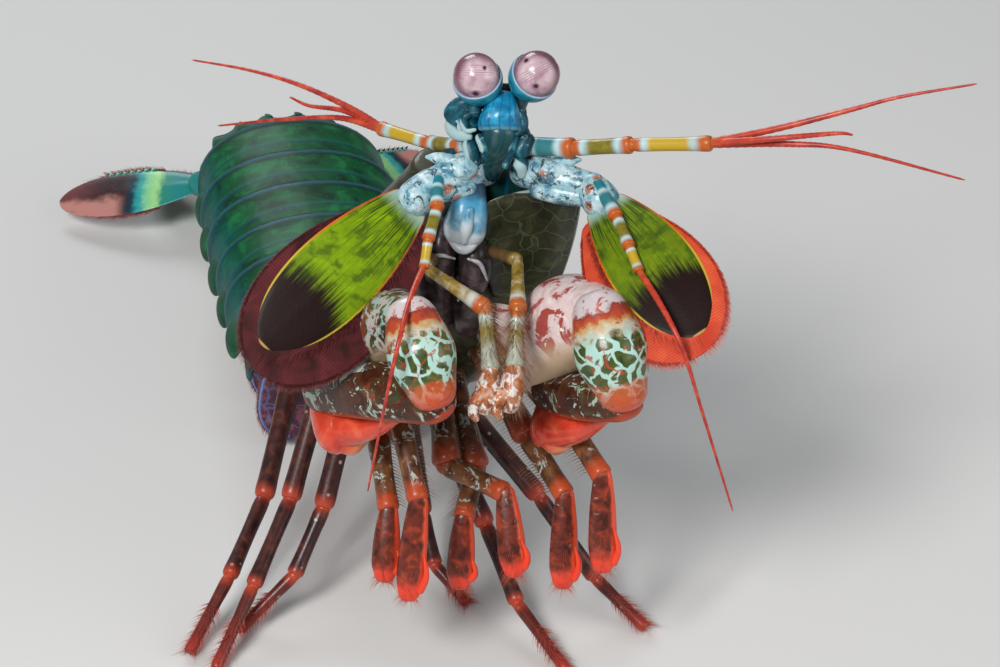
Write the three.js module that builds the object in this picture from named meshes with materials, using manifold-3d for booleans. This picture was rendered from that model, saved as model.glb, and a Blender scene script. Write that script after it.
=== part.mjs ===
// A peacock mantis shrimp at life size, reared up on its walking legs with its claws folded.
// Millimetres, +Z up. -Y is the way it faces, +X is its left, and z = 0 is the floor it stands on.
import * as THREE from 'three';
import { mergeVertices } from 'three/addons/utils/BufferGeometryUtils.js';
import Module from 'manifold-3d';

const wasm = await Module();
wasm.setup();

// Driving dimensions
const GAP = 0.34;
const BODY_SIDES = 20;
const EYE_RADIUS = 3.05;
const SCALE_WIDTH = 11.4;
const SCALE_THICK = 0.9;
const PLEOPOD_WIDTH = 11;
const PLEOPOD_THICK = 1.6;
const FLOOR_DEPTH = 40;
const FLOOR_SPAN = 400;

const vec = ([x, y, z]) => new THREE.Vector3(x, y, z);
const UP = vec([0, 0, 1]);

// The middle line of the body from between the eyes to the end of the sixth abdominal somite.
// wide is the half width, back the height of the arched back above the line, belly the depth below it.
const COURSE = [
  { at: [0.8, 6.5, 77], wide: 3.2, back: 2.8, belly: 2.2 },
  { at: [0.4, 7.5, 71], wide: 6, back: 4, belly: 3.5 },
  { at: [-0.8, 9, 65], wide: 9.5, back: 5.5, belly: 5 },
  { at: [-4.5, 11, 54.5], wide: 12.5, back: 7.5, belly: 6.5 },
  { at: [-9.5, 13.5, 44], wide: 14.5, back: 8.5, belly: 7.5 },
  { at: [-14, 18, 35.5], wide: 13, back: 8.5, belly: 7.5 },
  { at: [-18, 23.5, 29.5], wide: 13.5, back: 9, belly: 8 },
  { at: [-21.5, 30, 25.5], wide: 14.5, back: 9.3, belly: 8 },
  { at: [-24, 36.5, 22.5], wide: 15.5, back: 9.8, belly: 8.5 },
  { at: [-26, 46, 21], wide: 16, back: 10, belly: 8.5 },
  { at: [-28, 56.5, 20], wide: 16.2, back: 10.2, belly: 8.5 },
  { at: [-30.3, 67, 19.5], wide: 16.2, back: 10.4, belly: 8.3 },
  { at: [-32.4, 77.5, 19], wide: 16, back: 10.5, belly: 8 },
  { at: [-34.5, 88, 18.3], wide: 15.2, back: 10.2, belly: 7.5 },
  { at: [-36.6, 97.5, 15.5], wide: 12.5, back: 8, belly: 6 },
];
const HEAD_BACK = vec([0.42, 0.9, 0.2]);
const TAIL_BACK = vec([0, 0.2, 1]);
const TURN_FROM = 3;
const TURN_TO = 9;

const middle = new THREE.CatmullRomCurve3(COURSE.map(({ at }) => vec(at)));
const girth = new THREE.CatmullRomCurve3(COURSE.map(({ wide, back, belly }) => vec([wide, back, belly])));

// A cross-section of the body at a station of the course, with its size multiplied by swell.
function bodySection(station, swell = 1) {
  const t = station / (COURSE.length - 1);
  const tailward = middle.getTangent(t);
  const turn = THREE.MathUtils.smoothstep(station, TURN_FROM, TURN_TO);
  const side = tailward.clone().cross(HEAD_BACK.clone().lerp(TAIL_BACK, turn)).normalize();
  const size = girth.getPoint(t).multiplyScalar(swell);
  return {
    centre: middle.getPoint(t),
    side,
    back: side.clone().cross(tailward).normalize(),
    wide: size.x,
    high: size.y,
    low: size.z,
  };
}

// A point near the body: station along the course, then parts of the half width and of the height.
function onBody(station, across, height) {
  const { centre, side, back, wide, high, low } = bodySection(station);
  return centre.clone()
    .addScaledVector(side, across * wide)
    .addScaledVector(back, height * (height > 0 ? high : low));
}

// A closed geometry made a solid, its faces turned outwards.
function solid(geometry) {
  geometry.deleteAttribute('normal');
  geometry.deleteAttribute('uv');
  const merged = mergeVertices(geometry);
  const triVerts = Uint32Array.from(merged.index.array);
  const vertProperties = merged.attributes.position.array;
  const made = new wasm.Manifold(new wasm.Mesh({ numProp: 3, vertProperties, triVerts }));
  if (made.volume() > 0) return made;
  return new wasm.Manifold(new wasm.Mesh({ numProp: 3, vertProperties, triVerts: triVerts.reverse() }));
}

// A closed skin through cross-sections, each an ellipse whose two halves may differ in height.
function sweep(sections, sides) {
  const steps = sections.length - 1;
  const geometry = new THREE.CylinderGeometry(1, 1, 1, sides, steps);
  const place = geometry.attributes.position;
  for (let i = 0; i < place.count; i++) {
    const { centre, side, back, wide, high, low } = sections[Math.round((0.5 - place.getY(i)) * steps)];
    const height = place.getZ(i);
    const point = centre.clone()
      .addScaledVector(side, place.getX(i) * wide)
      .addScaledVector(back, height * (height > 0 ? high : low));
    place.setXYZ(i, point.x, point.y, point.z);
  }
  return solid(geometry);
}

// A bent rod through points, with a radius at each, its ends drawn in. flat thins it along up.
function limb(points, radii, { sides = 6, steps = 4, flat = 1, up = UP } = {}) {
  const curve = new THREE.CatmullRomCurve3(points.map((p) => (p.isVector3 ? p : vec(p))));
  const sizes = new THREE.CatmullRomCurve3(radii.map((r) => vec([r, 0, 0])));
  const ends = 0.5;
  const drawn = 0.55;
  const sections = [];
  for (let i = -1; i <= steps + 1; i++) {
    const t = THREE.MathUtils.clamp(i / steps, 0, 1);
    const past = Math.sign(i / steps - t);
    const radius = sizes.getPoint(t).x;
    const tangent = curve.getTangent(t);
    const side = tangent.clone().cross(up).normalize();
    const wide = radius * (past ? drawn : 1);
    sections.push({
      centre: curve.getPoint(t).addScaledVector(tangent, past * ends * radius),
      side,
      back: side.clone().cross(tangent).normalize(),
      wide,
      high: wide * flat,
      low: wide * flat,
    });
  }
  return sweep(sections, sides);
}

// A thin leaf from base to tip that faces along face. fullest is where it is widest, bow lifts its middle.
function leaf(base, tip, face, width, thick, { fullest = 0.5, heel = 0.3, steps = 7, sides = 8, bow = 0 } = {}) {
  const start = base.isVector3 ? base : vec(base);
  const along = vec(tip).sub(start);
  const side = along.clone().cross(vec(face)).normalize();
  const back = side.clone().cross(along).normalize();
  const power = Math.log(0.5) / Math.log(fullest);
  const sections = [];
  for (let i = 0; i <= steps; i++) {
    const t = i / steps;
    const swell = Math.max(Math.sin(Math.PI * t ** power) ** 0.65, t < fullest ? heel : 0.16);
    sections.push({
      centre: start.clone().addScaledVector(along, t).addScaledVector(back, bow * Math.sin(Math.PI * t)),
      side,
      back,
      wide: 0.5 * width * swell,
      high: 0.5 * thick * Math.max(swell, 0.6),
      low: 0.5 * thick * Math.max(swell, 0.6),
    });
  }
  return sweep(sections, sides);
}

function ball(centre, radii, rings = 5) {
  const geometry = new THREE.SphereGeometry(1, rings * 2, rings);
  geometry.rotateX(Math.PI / 2);
  geometry.scale(...radii);
  geometry.translate(...(centre.isVector3 ? centre.toArray() : centre));
  return solid(geometry);
}

// A tapered spine.
function thorn(root, tip, radius) {
  const start = root.isVector3 ? root : vec(root);
  const along = (tip.isVector3 ? tip.clone() : vec(tip)).sub(start);
  const geometry = new THREE.ConeGeometry(radius, along.length(), 5);
  geometry.translate(0, along.length() / 2, 0);
  geometry.applyQuaternion(new THREE.Quaternion().setFromUnitVectors(vec([0, 1, 0]), along.clone().normalize()));
  geometry.translate(start.x, start.y, start.z);
  return solid(geometry);
}

// Straight articles joined end to end, each swollen at its two joints.
function articles(points, radii) {
  const pieces = [];
  for (let i = 1; i < points.length; i++) {
    const waist = 0.42 * (radii[i - 1] + radii[i]);
    const half = vec(points[i - 1]).lerp(vec(points[i]), 0.5);
    pieces.push(limb([points[i - 1], half, points[i]], [radii[i - 1], waist, radii[i]], { sides: 5, steps: 2 }));
  }
  return pieces;
}

// A whip that tapers to a fine tip.
function whip(points, thick = 0.42) {
  const radii = points.map((_, i) => THREE.MathUtils.lerp(thick, 0.2, i / (points.length - 1)));
  return limb(points, radii, { sides: 4, steps: points.length * 2 });
}

const FINISH = {
  olive: ['#3a4020', 0.45],
  green: ['#2d5a3c', 0.4],
  teal: ['#0c6f8c', 0.4],
  cornea: ['#ccb4c0', 0.15],
  leafGreen: ['#5f8f1c', 0.45],
  orange: ['#b5511c', 0.45],
  red: ['#a01c10', 0.5],
  claw: ['#5b5a40', 0.4],
  leg: ['#4a1c16', 0.5],
  gill: ['#7d3555', 0.6],
};

const parts = [];
function part(name, finish, ...pieces) {
  parts.push({ name, finish, body: wasm.Manifold.union(pieces) });
}

// The shell rings of the trunk. Each narrows at its front and flares to a raised hind rim.
function ring(from, to, flare = 1.03) {
  const steps = 3;
  const sections = [];
  for (let i = 0; i <= steps; i++) {
    const t = i / steps;
    sections.push(bodySection(THREE.MathUtils.lerp(from, to, t), THREE.MathUtils.lerp(0.95, flare, t ** 0.7)));
  }
  return sweep(sections, BODY_SIDES);
}

const LINK = 0.03;
part('carapace', 'olive', ring(1.6, 4.75, 1.02));
part('head', 'teal', sweep([0, 0.4, 0.8, 1.2, 1.55].map((s) => bodySection(s)), 16));
part('thorax_6', 'olive', ring(4.75 + LINK, 5.75));
part('thorax_7', 'olive', ring(5.75 + LINK, 6.75));
part('thorax_8', 'olive', ring(6.75 + LINK, 7.8));
const ABDOMEN = [7.8, 8.9, 9.9, 10.9, 11.9, 12.95, 14];
for (let n = 1; n < ABDOMEN.length; n++) {
  const from = ABDOMEN[n - 1] + LINK;
  const to = ABDOMEN[n];
  const pieces = [ring(from, to)];
  // The side plates end in a lobe at their hind corners.
  for (const across of [-1, 1]) {
    const root = onBody(to - 0.45, across * 0.86, -0.15);
    const tip = onBody(to - 0.02, across * 0.98, -0.62);
    pieces.push(limb([root, tip], [2.2, 1.2], { steps: 2 }));
  }
  // The last one carries six keels that run out in spines.
  for (const across of n === 6 ? [-0.8, -0.5, -0.18, 0.18, 0.5, 0.8] : []) {
    const rise = Math.sqrt(1 - across * across);
    pieces.push(thorn(onBody(to - 0.75, across, 0.86 * rise), onBody(to + 0, across * 1.12, 1.16 * rise), 1));
  }
  part('abdomen_' + n, 'green', ...pieces);
}

// Tail fan
const TELSON_TIP = [-42.5, 119, 5];
const telson = [leaf([-36.6, 96, 14.5], TELSON_TIP, [0, 0.4, 1], 25, 5, { fullest: 0.36, heel: 0.75, sides: 12 })];
telson.push(limb([[-36.9, 98, 17], [-38.8, 106, 14.5], [-41, 114.5, 9.5]], [1.3, 1.6, 0.8], { flat: 1.2 }));
for (const [across, along] of [[-0.92, 0.5], [-0.75, 0.78], [-0.34, 0.97], [0.34, 0.97], [0.75, 0.78], [0.92, 0.5]]) {
  const root = vec([-36.6 + across * 10, 96 + along * 20 + across * 2, 14.5 - along * 8]);
  telson.push(thorn(root, root.clone().add(vec([-1 + across * 1.6, 5, -2.2])), 1.3));
}
part('telson', 'green', ...telson);
const UROPODS = {
  R: { root: [-42, 96, 12.5], joint: [-51, 101.5, 9.5], outer: [-76, 105.5, 3.5], inner: [-60, 117, 3] },
  L: { root: [-30, 98, 12.5], joint: [-24.5, 105, 9.5], outer: [-9, 119, 3.5], inner: [-25, 121, 3] },
};
for (const [side, { root, joint, outer, inner }] of Object.entries(UROPODS)) {
  part(
    'uropod_' + side,
    'teal',
    limb([root, joint], [3, 2.4], { steps: 2 }),
    leaf(joint, outer, [0, -0.4, 1], 11, 1.2, { fullest: 0.55 }),
    leaf(joint, inner, [0, 0.3, 1], 8, 1.2, { fullest: 0.55 }),
  );
}

// Eyes on their stalks
const EYES = { R: [-3.1, 6, 81.1], L: [4.8, 6, 81.4] };
for (const side of ['R', 'L'])
  part('cornea_' + side, 'cornea', ball(EYES[side], [EYE_RADIUS, EYE_RADIUS, EYE_RADIUS], 8));
for (const side of ['R', 'L']) {
  const centre = vec(EYES[side]);
  const root = vec([0.8 + Math.sign(centre.x) * 1.1, 7, 75.3]);
  const neck = root.clone().lerp(centre, 0.45);
  const cup = root.clone().lerp(centre, 0.9);
  part('eyestalk_' + side, 'teal', limb([root, neck, cup], [1.5, 1.7, 3], { sides: 10 }));
}
part('rostrum', 'teal', leaf([0.2, 12, 68.5], [1.6, 11.2, 78.5], [0.42, 0.9, 0], 8, 1.1, { heel: 0.8 }));

// First feelers: three articles and three whips each
const ANTENNULES = {
  R: {
    stem: [[-1.2, 6.5, 70.6], [-5.3, 9.8, 68.5], [-9.5, 16.4, 65.2], [-16.6, 23.5, 63.6]],
    whips: [
      [[-16, 23, 63.7], [-20.9, 27, 64.9], [-28.1, 32, 65.8], [-35.5, 37, 65.5], [-44.3, 43, 64]],
      [[-16, 23, 63.5], [-22.3, 27, 63.3], [-31.2, 33, 59.7], [-40.7, 39, 55.4]],
      [[-16, 23, 63.6], [-21.5, 27.5, 64.1], [-26.7, 30, 63.6], [-29.6, 32, 63.9]],
    ],
  },
  L: {
    stem: [[2, 6.3, 70.6], [9.7, 2.3, 72.4], [17.1, -1.1, 74.8], [27.1, -5, 77.2]],
    whips: [
      [[26.6, -4.8, 77.2], [35.5, -7, 80.6], [44, -8, 83.7], [50, -9, 86.1], [59.3, -10, 88.5]],
      [[26.6, -4.8, 77], [36.7, -8, 78.8], [44.1, -10, 79.1], [58.3, -14, 77]],
      [[26.6, -4.8, 77.1], [34.5, -8.4, 79.8], [42.3, -9, 80.9], [44.2, -11, 81.8]],
    ],
  },
};
for (const [side, { stem, whips }] of Object.entries(ANTENNULES))
  part('antennule_' + side, 'orange', ...articles(stem, [1.7, 1.35, 1.1, 1]), ...whips.map((w) => whip(w)));

// Second feelers: a stout base, a broad scale fringed with bristles, and a jointed whip
const ANTENNAE = {
  R: {
    base: [[-1.5, 7.5, 67], [-5, 4, 67.8], [-9, 1, 67.8]],
    hinge: [-9, 1, 67.8],
    tip: [-30.6, -17, 54.1],
    face: [0.16, -0.71, 0.64],
    stem: [[-8.2, 0.5, 69], [-8.2, -4, 67], [-9.3, -8, 64.6], [-9.8, -10.6, 61.9]],
    lash: [[-9.8, -10.4, 62.2], [-11.6, -13, 58.6], [-12.8, -17, 55], [-14.4, -21, 48.4], [-17, -25, 37.1]],
  },
  L: {
    base: [[2, 8, 67], [5.9, 4, 67.4], [12, 1, 67.2]],
    hinge: [12, 1, 67.2],
    tip: [25.4, -21.5, 58.8],
    face: [-0.3, -0.4, 0.87],
    stem: [[12.6, 0.5, 68.3], [15.1, -4, 65.5], [16.6, -8, 63.4], [17.8, -10.6, 61.3]],
    lash: [[17.7, -10.4, 61.5], [21.8, -14, 53.9], [23.7, -16, 50.8], [25.9, -19, 45.5], [30.2, -24, 33.1]],
  },
};
for (const [side, { base }] of Object.entries(ANTENNAE))
  part('antenna_base_' + side, 'teal', limb(base, [3.1, 2.8, 2.1], { sides: 10 }));
for (const [side, { stem, lash }] of Object.entries(ANTENNAE))
  part('antenna_feeler_' + side, 'orange', ...articles(stem, [1.1, 1, 0.9, 0.7]), whip(lash, 0.45));
for (const [side, { hinge, tip, face }] of Object.entries(ANTENNAE)) {
  const wrist = vec(hinge).lerp(vec(tip), 0.16);
  part(
    'antenna_scale_' + side,
    'leafGreen',
    limb([hinge, wrist], [2, 2.2], { steps: 3 }),
    leaf(wrist, tip, face, SCALE_WIDTH, SCALE_THICK, { fullest: 0.55, heel: 0.45, bow: 1.2, steps: 9 }),
  );
}

// Upper lip, jaws and the small mouthparts behind them
part(
  'mouth',
  'teal',
  ball([-4.2, 2.2, 62.5], [2.7, 3, 2.8]),
  ball([-8, 2.6, 56.5], [2.4, 3, 4.6]),
  ball([-3.6, 1.8, 55.5], [2.4, 3, 4.6]),
  ball([-8.5, 4.2, 49.5], [4.5, 3.6, 4.5]),
);

// Striking claws: merus up to the wrist, carpus over the top, hand folded back, heel at its end
const CLAWS = {
  R: {
    root: [-12.5, 7, 46],
    knee: [-16, -3.5, 41.5],
    wrist: [-11.3, -17.5, 57.5],
    knuckle: [-8.6, -24, 52],
    heel: [-23.2, -8.4, 41.2],
    bulb: [-21.6, -9.6, 36.2],
    point: [-12.3, -19.6, 45.2],
  },
  L: {
    root: [-1.5, 6, 46],
    knee: [6.5, -3, 40.8],
    wrist: [12.8, -17, 58],
    knuckle: [15.6, -23, 51.3],
    heel: [7, -6.6, 39.6],
    bulb: [7, -8, 35],
    point: [14.4, -19.4, 44.6],
  },
};
for (const [side, { root, knee, wrist }] of Object.entries(CLAWS)) {
  const thigh = vec(knee).lerp(vec(wrist), 0.5);
  part(
    'claw_merus_' + side,
    'claw',
    limb([root, knee], [2.6, 2.8], { steps: 2 }),
    limb([knee, thigh, wrist], [3, 4.2, 3.4], { sides: 10, steps: 5 }),
  );
}
for (const [side, { wrist, knuckle }] of Object.entries(CLAWS)) {
  const top = vec(wrist).add(vec([0, -1, 0.6]));
  part('claw_carpus_' + side, 'claw', limb([top, knuckle], [3.6, 3.9], { sides: 10 }));
}
for (const [side, { knuckle, heel }] of Object.entries(CLAWS)) {
  const palm = vec(knuckle).lerp(vec(heel), 0.5).add(vec([0, 0, 0.8]));
  const start = vec(knuckle).add(vec([0, 1, -2]));
  part('claw_propodus_' + side, 'claw', limb([start, palm, heel], [3.2, 3.9, 2.9], { sides: 10, steps: 5 }));
}
for (const [side, { heel, bulb, point }] of Object.entries(CLAWS)) {
  const shaft = vec(bulb).lerp(vec(point), 0.5).add(vec([0, 0, -0.8]));
  part(
    'claw_dactyl_' + side,
    'red',
    ball(bulb, [3.7, 3.2, 2.9]),
    limb([vec(heel).add(vec([0, 0, -2])), bulb], [2, 2.4], { steps: 3 }),
    limb([bulb, shaft, point], [2.2, 1.2, 0.4], { steps: 5 }),
  );
}

// Slender cleaning limbs beside the mouth
const CLEANERS = {
  R: [[-8, 4, 55.5], [-9.8, -6, 59.2], [-1.9, -11.5, 56.4], [-1.2, -18, 51], [-1.9, -20.5, 47]],
  L: [[-2.4, 4, 56], [2.3, -5.1, 59.8], [2.3, -13, 57], [1.9, -18, 51.5], [1.2, -20.5, 47.3]],
};
for (const [side, points] of Object.entries(CLEANERS))
  part('maxilliped_1_' + side, 'orange', ...articles(points, [1.1, 0.95, 0.85, 1.1, 1]));

// Three pairs of arms that end in a hanging oval hand
const ARMS = {
  '3_R': { arm: [[-12, 8, 43], [-13.5, -7, 35.5], [-10.9, -15.6, 28.4]], tip: [-12.4, -20, 15.4] },
  '4_R': { arm: [[-13.5, 9, 41], [-16.6, -5, 31.6], [-15, -13.6, 25.4]], tip: [-15.6, -18, 17] },
  '5_R': { arm: [[-9, 9, 37], [-7.3, -4, 26], [0.8, -10.5, 26]], tip: [2, -16, 16.3] },
  '3_L': { arm: [[-3, 7, 42], [8.7, -7, 36.2], [13.7, -15, 32]], tip: [13.8, -19, 19.4] },
  '4_L': { arm: [[-4, 8, 39], [3.8, -5, 31.5], [8.8, -13, 27.4]], tip: [8.5, -18, 15.9] },
  '5_L': { arm: [[-7, 9, 34.5], [-3.4, -2, 24], [-5, -9, 20.6]], tip: [-5.6, -12.5, 11.5] },
};
for (const [name, { arm, tip }] of Object.entries(ARMS)) {
  const wrist = vec(arm.at(-1));
  const hand = vec(tip).lerp(wrist, 0.5);
  part(
    'maxilliped_' + name,
    'olive',
    ...articles(arm, [1.7, 1.6, 1.2]),
    limb([wrist, hand, tip], [1.2, 2.2, 1.3], { sides: 8, flat: 0.7, up: vec([0, -1, 0.3]) }),
  );
}

// Walking legs: a stout root, two articles and a brush of bristles that stands on the floor
const LEGS = {
  '1_R': [[-20, 13, 31], [-25, 2.5, 14], [-29, -4, 7], [-36.7, -8.5, 0]],
  '2_R': [[-25, 18, 27], [-29.8, 4.5, 14], [-34.6, -6.5, 7], [-39.4, -17.4, 0]],
  '3_R': [[-30.5, 25, 21], [-34, 9, 11], [-38.2, -3.5, 6.4], [-43.4, -13.6, 0]],
  '1_L': [[-8, 12, 29], [5.5, 2.5, 16], [13.4, -3, 5.8], [20.5, -8.1, 0]],
  '2_L': [[-11, 17, 25], [-2, 3, 10.5], [2.4, -7, 4.4], [9.2, -17.5, 0]],
  '3_L': [[-14, 23, 21], [-11.2, 8.5, 8.5], [-9.4, 2.5, 3.8], [-4.6, -2.6, 0]],
};
for (const [name, points] of Object.entries(LEGS)) {
  const [, , ankle, foot] = points.map(vec);
  const brush = ankle.clone().lerp(foot, 0.6);
  part(
    'walking_leg_' + name,
    'leg',
    ...articles(points, [1.9, 1.15, 0.9, 0.7]),
    limb([brush, foot], [1, 1.1], { steps: 3 }),
  );
}

// Swimming flaps, a pair under each of the first five rings of the abdomen
for (let n = 1; n <= 5; n++) {
  const { centre, low } = bodySection((ABDOMEN[n - 1] + ABDOMEN[n]) / 2);
  for (const [side, across] of [['R', -1], ['L', 1]]) {
    const root = [centre.x + across * 7, centre.y, centre.z - 0.75 * low];
    const tip = [centre.x + across * 8.5, centre.y - 3, -0.4];
    const flap = leaf(root, tip, [0, -1, 0.3], PLEOPOD_WIDTH, PLEOPOD_THICK, { fullest: 0.6, heel: 0.6, steps: 5 });
    part('pleopod_' + n + '_' + side, 'gill', flap);
  }
}

// The same solid with its skin moved out by the gap that neighbours keep.
function grown(body) {
  const mesh = body.getMesh();
  const stride = mesh.numProp;
  const count = mesh.vertProperties.length / stride;
  const place = new Float32Array(count * 3);
  for (let i = 0; i < count; i++) {
    place.set(mesh.vertProperties.subarray(i * stride, i * stride + 3), i * 3);
  }
  const geometry = new THREE.BufferGeometry();
  geometry.setAttribute('position', new THREE.BufferAttribute(place, 3));
  geometry.setIndex(new THREE.BufferAttribute(mesh.triVerts, 1));
  geometry.computeVertexNormals();
  const normal = geometry.attributes.normal;
  const outset = place.map((value, i) => value + GAP * normal.array[i]);
  return new wasm.Manifold(new wasm.Mesh({ numProp: 3, vertProperties: outset, triVerts: mesh.triVerts }));
}

function boxesMeet(a, b) {
  return [0, 1, 2].every((k) => a.min[k] <= b.max[k] && b.min[k] <= a.max[k]);
}

const floorGeometry = new THREE.BoxGeometry(FLOOR_SPAN, FLOOR_SPAN, FLOOR_DEPTH);
floorGeometry.translate(0, 0, -FLOOR_DEPTH / 2);
const floor = solid(floorGeometry);

// Each part gives way to those made before it, stands on the floor, and keeps its largest piece.
const cutters = [];
const model = new THREE.Group();
for (const { name, finish, body } of parts) {
  let left = body.subtract(floor);
  const box = left.boundingBox();
  for (const cutter of cutters)
    if (boxesMeet(box, cutter.box)) left = left.subtract(cutter.body);
  left = left.decompose().reduce((a, b) => (a.volume() > b.volume() ? a : b));
  const wider = grown(left);
  cutters.push({ body: wider, box: wider.boundingBox() });
  const { vertProperties, triVerts } = left.getMesh();
  const geometry = new THREE.BufferGeometry();
  geometry.setAttribute('position', new THREE.BufferAttribute(vertProperties, 3));
  geometry.setIndex(new THREE.BufferAttribute(triVerts, 1));
  geometry.computeVertexNormals();
  const [color, roughness] = FINISH[finish];
  const mesh = new THREE.Mesh(geometry, new THREE.MeshStandardMaterial({ color, roughness, metalness: 0 }));
  mesh.name = name;
  model.add(mesh);
}

// The origin is under the middle of the whole animal.
const extent = new THREE.Box3().setFromObject(model);
const heart = extent.getCenter(new THREE.Vector3());
model.position.set(-heart.x, -heart.y, -extent.min.z);
const shrimp = new THREE.Group();
shrimp.add(model);

export default shrimp;
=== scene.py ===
# %% [markdown]
# # A mantis shrimp, reared up
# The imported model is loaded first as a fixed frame. Every later piece takes the place of one of its
# nodes, so the eye, the claw or the leg that is modelled here sits where the solid one is.

# %% Load the frame
import math
import random

import bmesh
import bpy
from mathutils import Matrix, Vector


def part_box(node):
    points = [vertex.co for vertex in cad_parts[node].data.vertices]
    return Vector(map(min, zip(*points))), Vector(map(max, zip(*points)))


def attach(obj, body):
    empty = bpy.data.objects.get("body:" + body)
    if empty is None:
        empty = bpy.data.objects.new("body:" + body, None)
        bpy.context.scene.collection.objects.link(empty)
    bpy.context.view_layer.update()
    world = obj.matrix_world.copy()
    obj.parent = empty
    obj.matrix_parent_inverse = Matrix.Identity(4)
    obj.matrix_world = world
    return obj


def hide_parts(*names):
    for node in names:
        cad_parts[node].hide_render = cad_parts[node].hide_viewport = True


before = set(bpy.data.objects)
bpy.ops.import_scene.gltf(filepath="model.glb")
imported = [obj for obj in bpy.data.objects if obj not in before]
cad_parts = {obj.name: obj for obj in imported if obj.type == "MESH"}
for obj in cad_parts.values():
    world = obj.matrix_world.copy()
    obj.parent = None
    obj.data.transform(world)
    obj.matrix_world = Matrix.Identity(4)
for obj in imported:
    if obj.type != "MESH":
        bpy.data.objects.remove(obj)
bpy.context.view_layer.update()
print("nodes", len(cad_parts))

# %% [markdown]
# ## One plan in millimetres
# The animal is planned in millimetres, on a plan whose zero lies under the head. The frame has its
# zero under the middle of the whole animal. The right eye is in both, so it gives the way from one
# to the other. Points are written as plan points and turned into metres when a piece is finished.

# %% Plan and frame
MM = 0.001
EYE = {"R": Vector((-3.1, 6, 81.1)), "L": Vector((4.8, 6, 81.4))}
eye_low, eye_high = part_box("cornea_R")
SHIFT = (eye_low + eye_high) / 2 / MM - EYE["R"]
TO_FRAME = Matrix.Translation(SHIFT * MM) @ Matrix.Scale(MM, 4)
print("plan to frame, mm", [round(v, 2) for v in SHIFT])


def smooth(points, t):
    """The point at share t of the way along a smooth curve through points."""
    spans = len(points) - 1
    i = min(int(t * spans), spans - 1)
    f = t * spans - i
    a, b = points[i], points[i + 1]
    before = points[i - 1] if i else a * 2 - b
    after = points[i + 2] if i + 2 <= spans else b * 2 - a
    return 0.5 * (
        2 * a
        + (b - before) * f
        + (2 * before - 5 * a + 4 * b - after) * f ** 2
        + (3 * a - before - 3 * b + after) * f ** 3
    )


def heading(points, t):
    """The way that the curve runs at share t."""
    step = 0.01
    return (smooth(points, min(t + step, 1)) - smooth(points, max(t - step, 0))).normalized()


# %% [markdown]
# ## The camera and the light
# The photo looks down on the animal from the front with a long lens. The lens and the distance give
# 2960 pixels for each unit of slope, which makes the eye as wide as in the photo.

# %% Camera
LOOK_AT = Vector((0, 0, 45))
CAMERA_RISE = math.radians(33)
CAMERA_FAR = 400
FRAME_WIDE = 1000
FOCAL_PIXELS = 2960
SENSOR = 36

camera = bpy.data.objects.new("camera", bpy.data.cameras.new("camera"))
bpy.context.scene.collection.objects.link(camera)
camera.data.sensor_width = SENSOR
camera.data.lens = SENSOR * FOCAL_PIXELS / FRAME_WIDE
camera.data.clip_start = 0.01
camera_back = Vector((0, -math.cos(CAMERA_RISE), math.sin(CAMERA_RISE)))
camera.location = TO_FRAME @ (LOOK_AT + camera_back * CAMERA_FAR)
camera.rotation_euler = (-camera_back).to_track_quat("-Z", "Y").to_euler()
bpy.context.scene.camera = camera
print("lens", round(camera.data.lens, 1), "mm")

# %% [markdown]
# ## The floor and the light
# The floor is a sheet of pale, matt paper, large enough to reach past the picture. Soft boxes give
# the broad highlights that show how a shell is rounded. The key stands before the animal, a wide
# faint one fills from its left, and a third lights its rim from behind.

# %% Floor and room
FLOOR_HALF = 3
PAPER = (0.62, 0.61, 0.59, 1)
floor_bm = bmesh.new()
bmesh.ops.create_grid(floor_bm, x_segments=1, y_segments=1, size=FLOOR_HALF)
floor_mesh = bpy.data.meshes.new("floor")
floor_bm.to_mesh(floor_mesh)
floor_bm.free()
floor = bpy.data.objects.new("floor", floor_mesh)
bpy.context.scene.collection.objects.link(floor)
paper = bpy.data.materials.new("floor_paper")
paper.use_nodes = True
paper_shader = paper.node_tree.nodes["Principled BSDF"]
paper_shader.inputs["Base Color"].default_value = PAPER
paper_shader.inputs["Roughness"].default_value = 0.9
floor_mesh.materials.append(paper)

world = bpy.data.worlds.new("room")
world.use_nodes = True
sky = world.node_tree.nodes["Background"]
sky.inputs["Color"].default_value = (0.85, 0.9, 1, 1)
sky.inputs["Strength"].default_value = 0.16
bpy.context.scene.world = world
bpy.context.scene.view_settings.view_transform = "Standard"
print("floor", 2 * FLOOR_HALF, "m wide")

# %% Soft boxes
AIM = Vector((0, 0, 0.04))


def soft_box(name, place, size, power, colour=(1, 1, 1)):
    """A square lamp that looks at the animal."""
    lamp = bpy.data.lights.new(name, "AREA")
    lamp.size = size
    lamp.energy = power
    lamp.color = colour
    box = bpy.data.objects.new(name, lamp)
    box.location = place
    box.rotation_euler = (AIM - Vector(place)).to_track_quat("-Z", "Y").to_euler()
    bpy.context.scene.collection.objects.link(box)
    print(name, power, "W")


soft_box("key", (-0.25, -0.5, 0.55), 0.25, 5.4)
soft_box("fill", (0.55, -0.3, 0.3), 0.4, 1.4)
soft_box("rim", (-0.2, 0.55, 0.45), 0.3, 2.0, (0.9, 0.95, 1))

# %% [markdown]
# ## How a rounded form is made
# Nearly every part of the animal is a tube that swells and bends. A ring of points is created once
# and extruded from section to section. Each point keeps a note of where it is, its share of the way
# along, across and up, in an attribute called flow. Materials read it, so that a band or a rim
# follows the part wherever it bends.

# %% Sections and directions
def section(centre, side, back, wide, high, low=None):
    return {"centre": centre, "side": side, "back": back, "wide": wide, "high": high,
            "low": high if low is None else low}


def sides(tangent, up):
    """The ways across and up, at right angles to the way that a piece runs."""
    side = tangent.cross(up).normalized()
    return side, side.cross(tangent).normalized()


def box_round(value, power):
    """A cosine or sine made fuller, so that a ring becomes a rounded box."""
    return math.copysign(abs(value) ** power, value)


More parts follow.
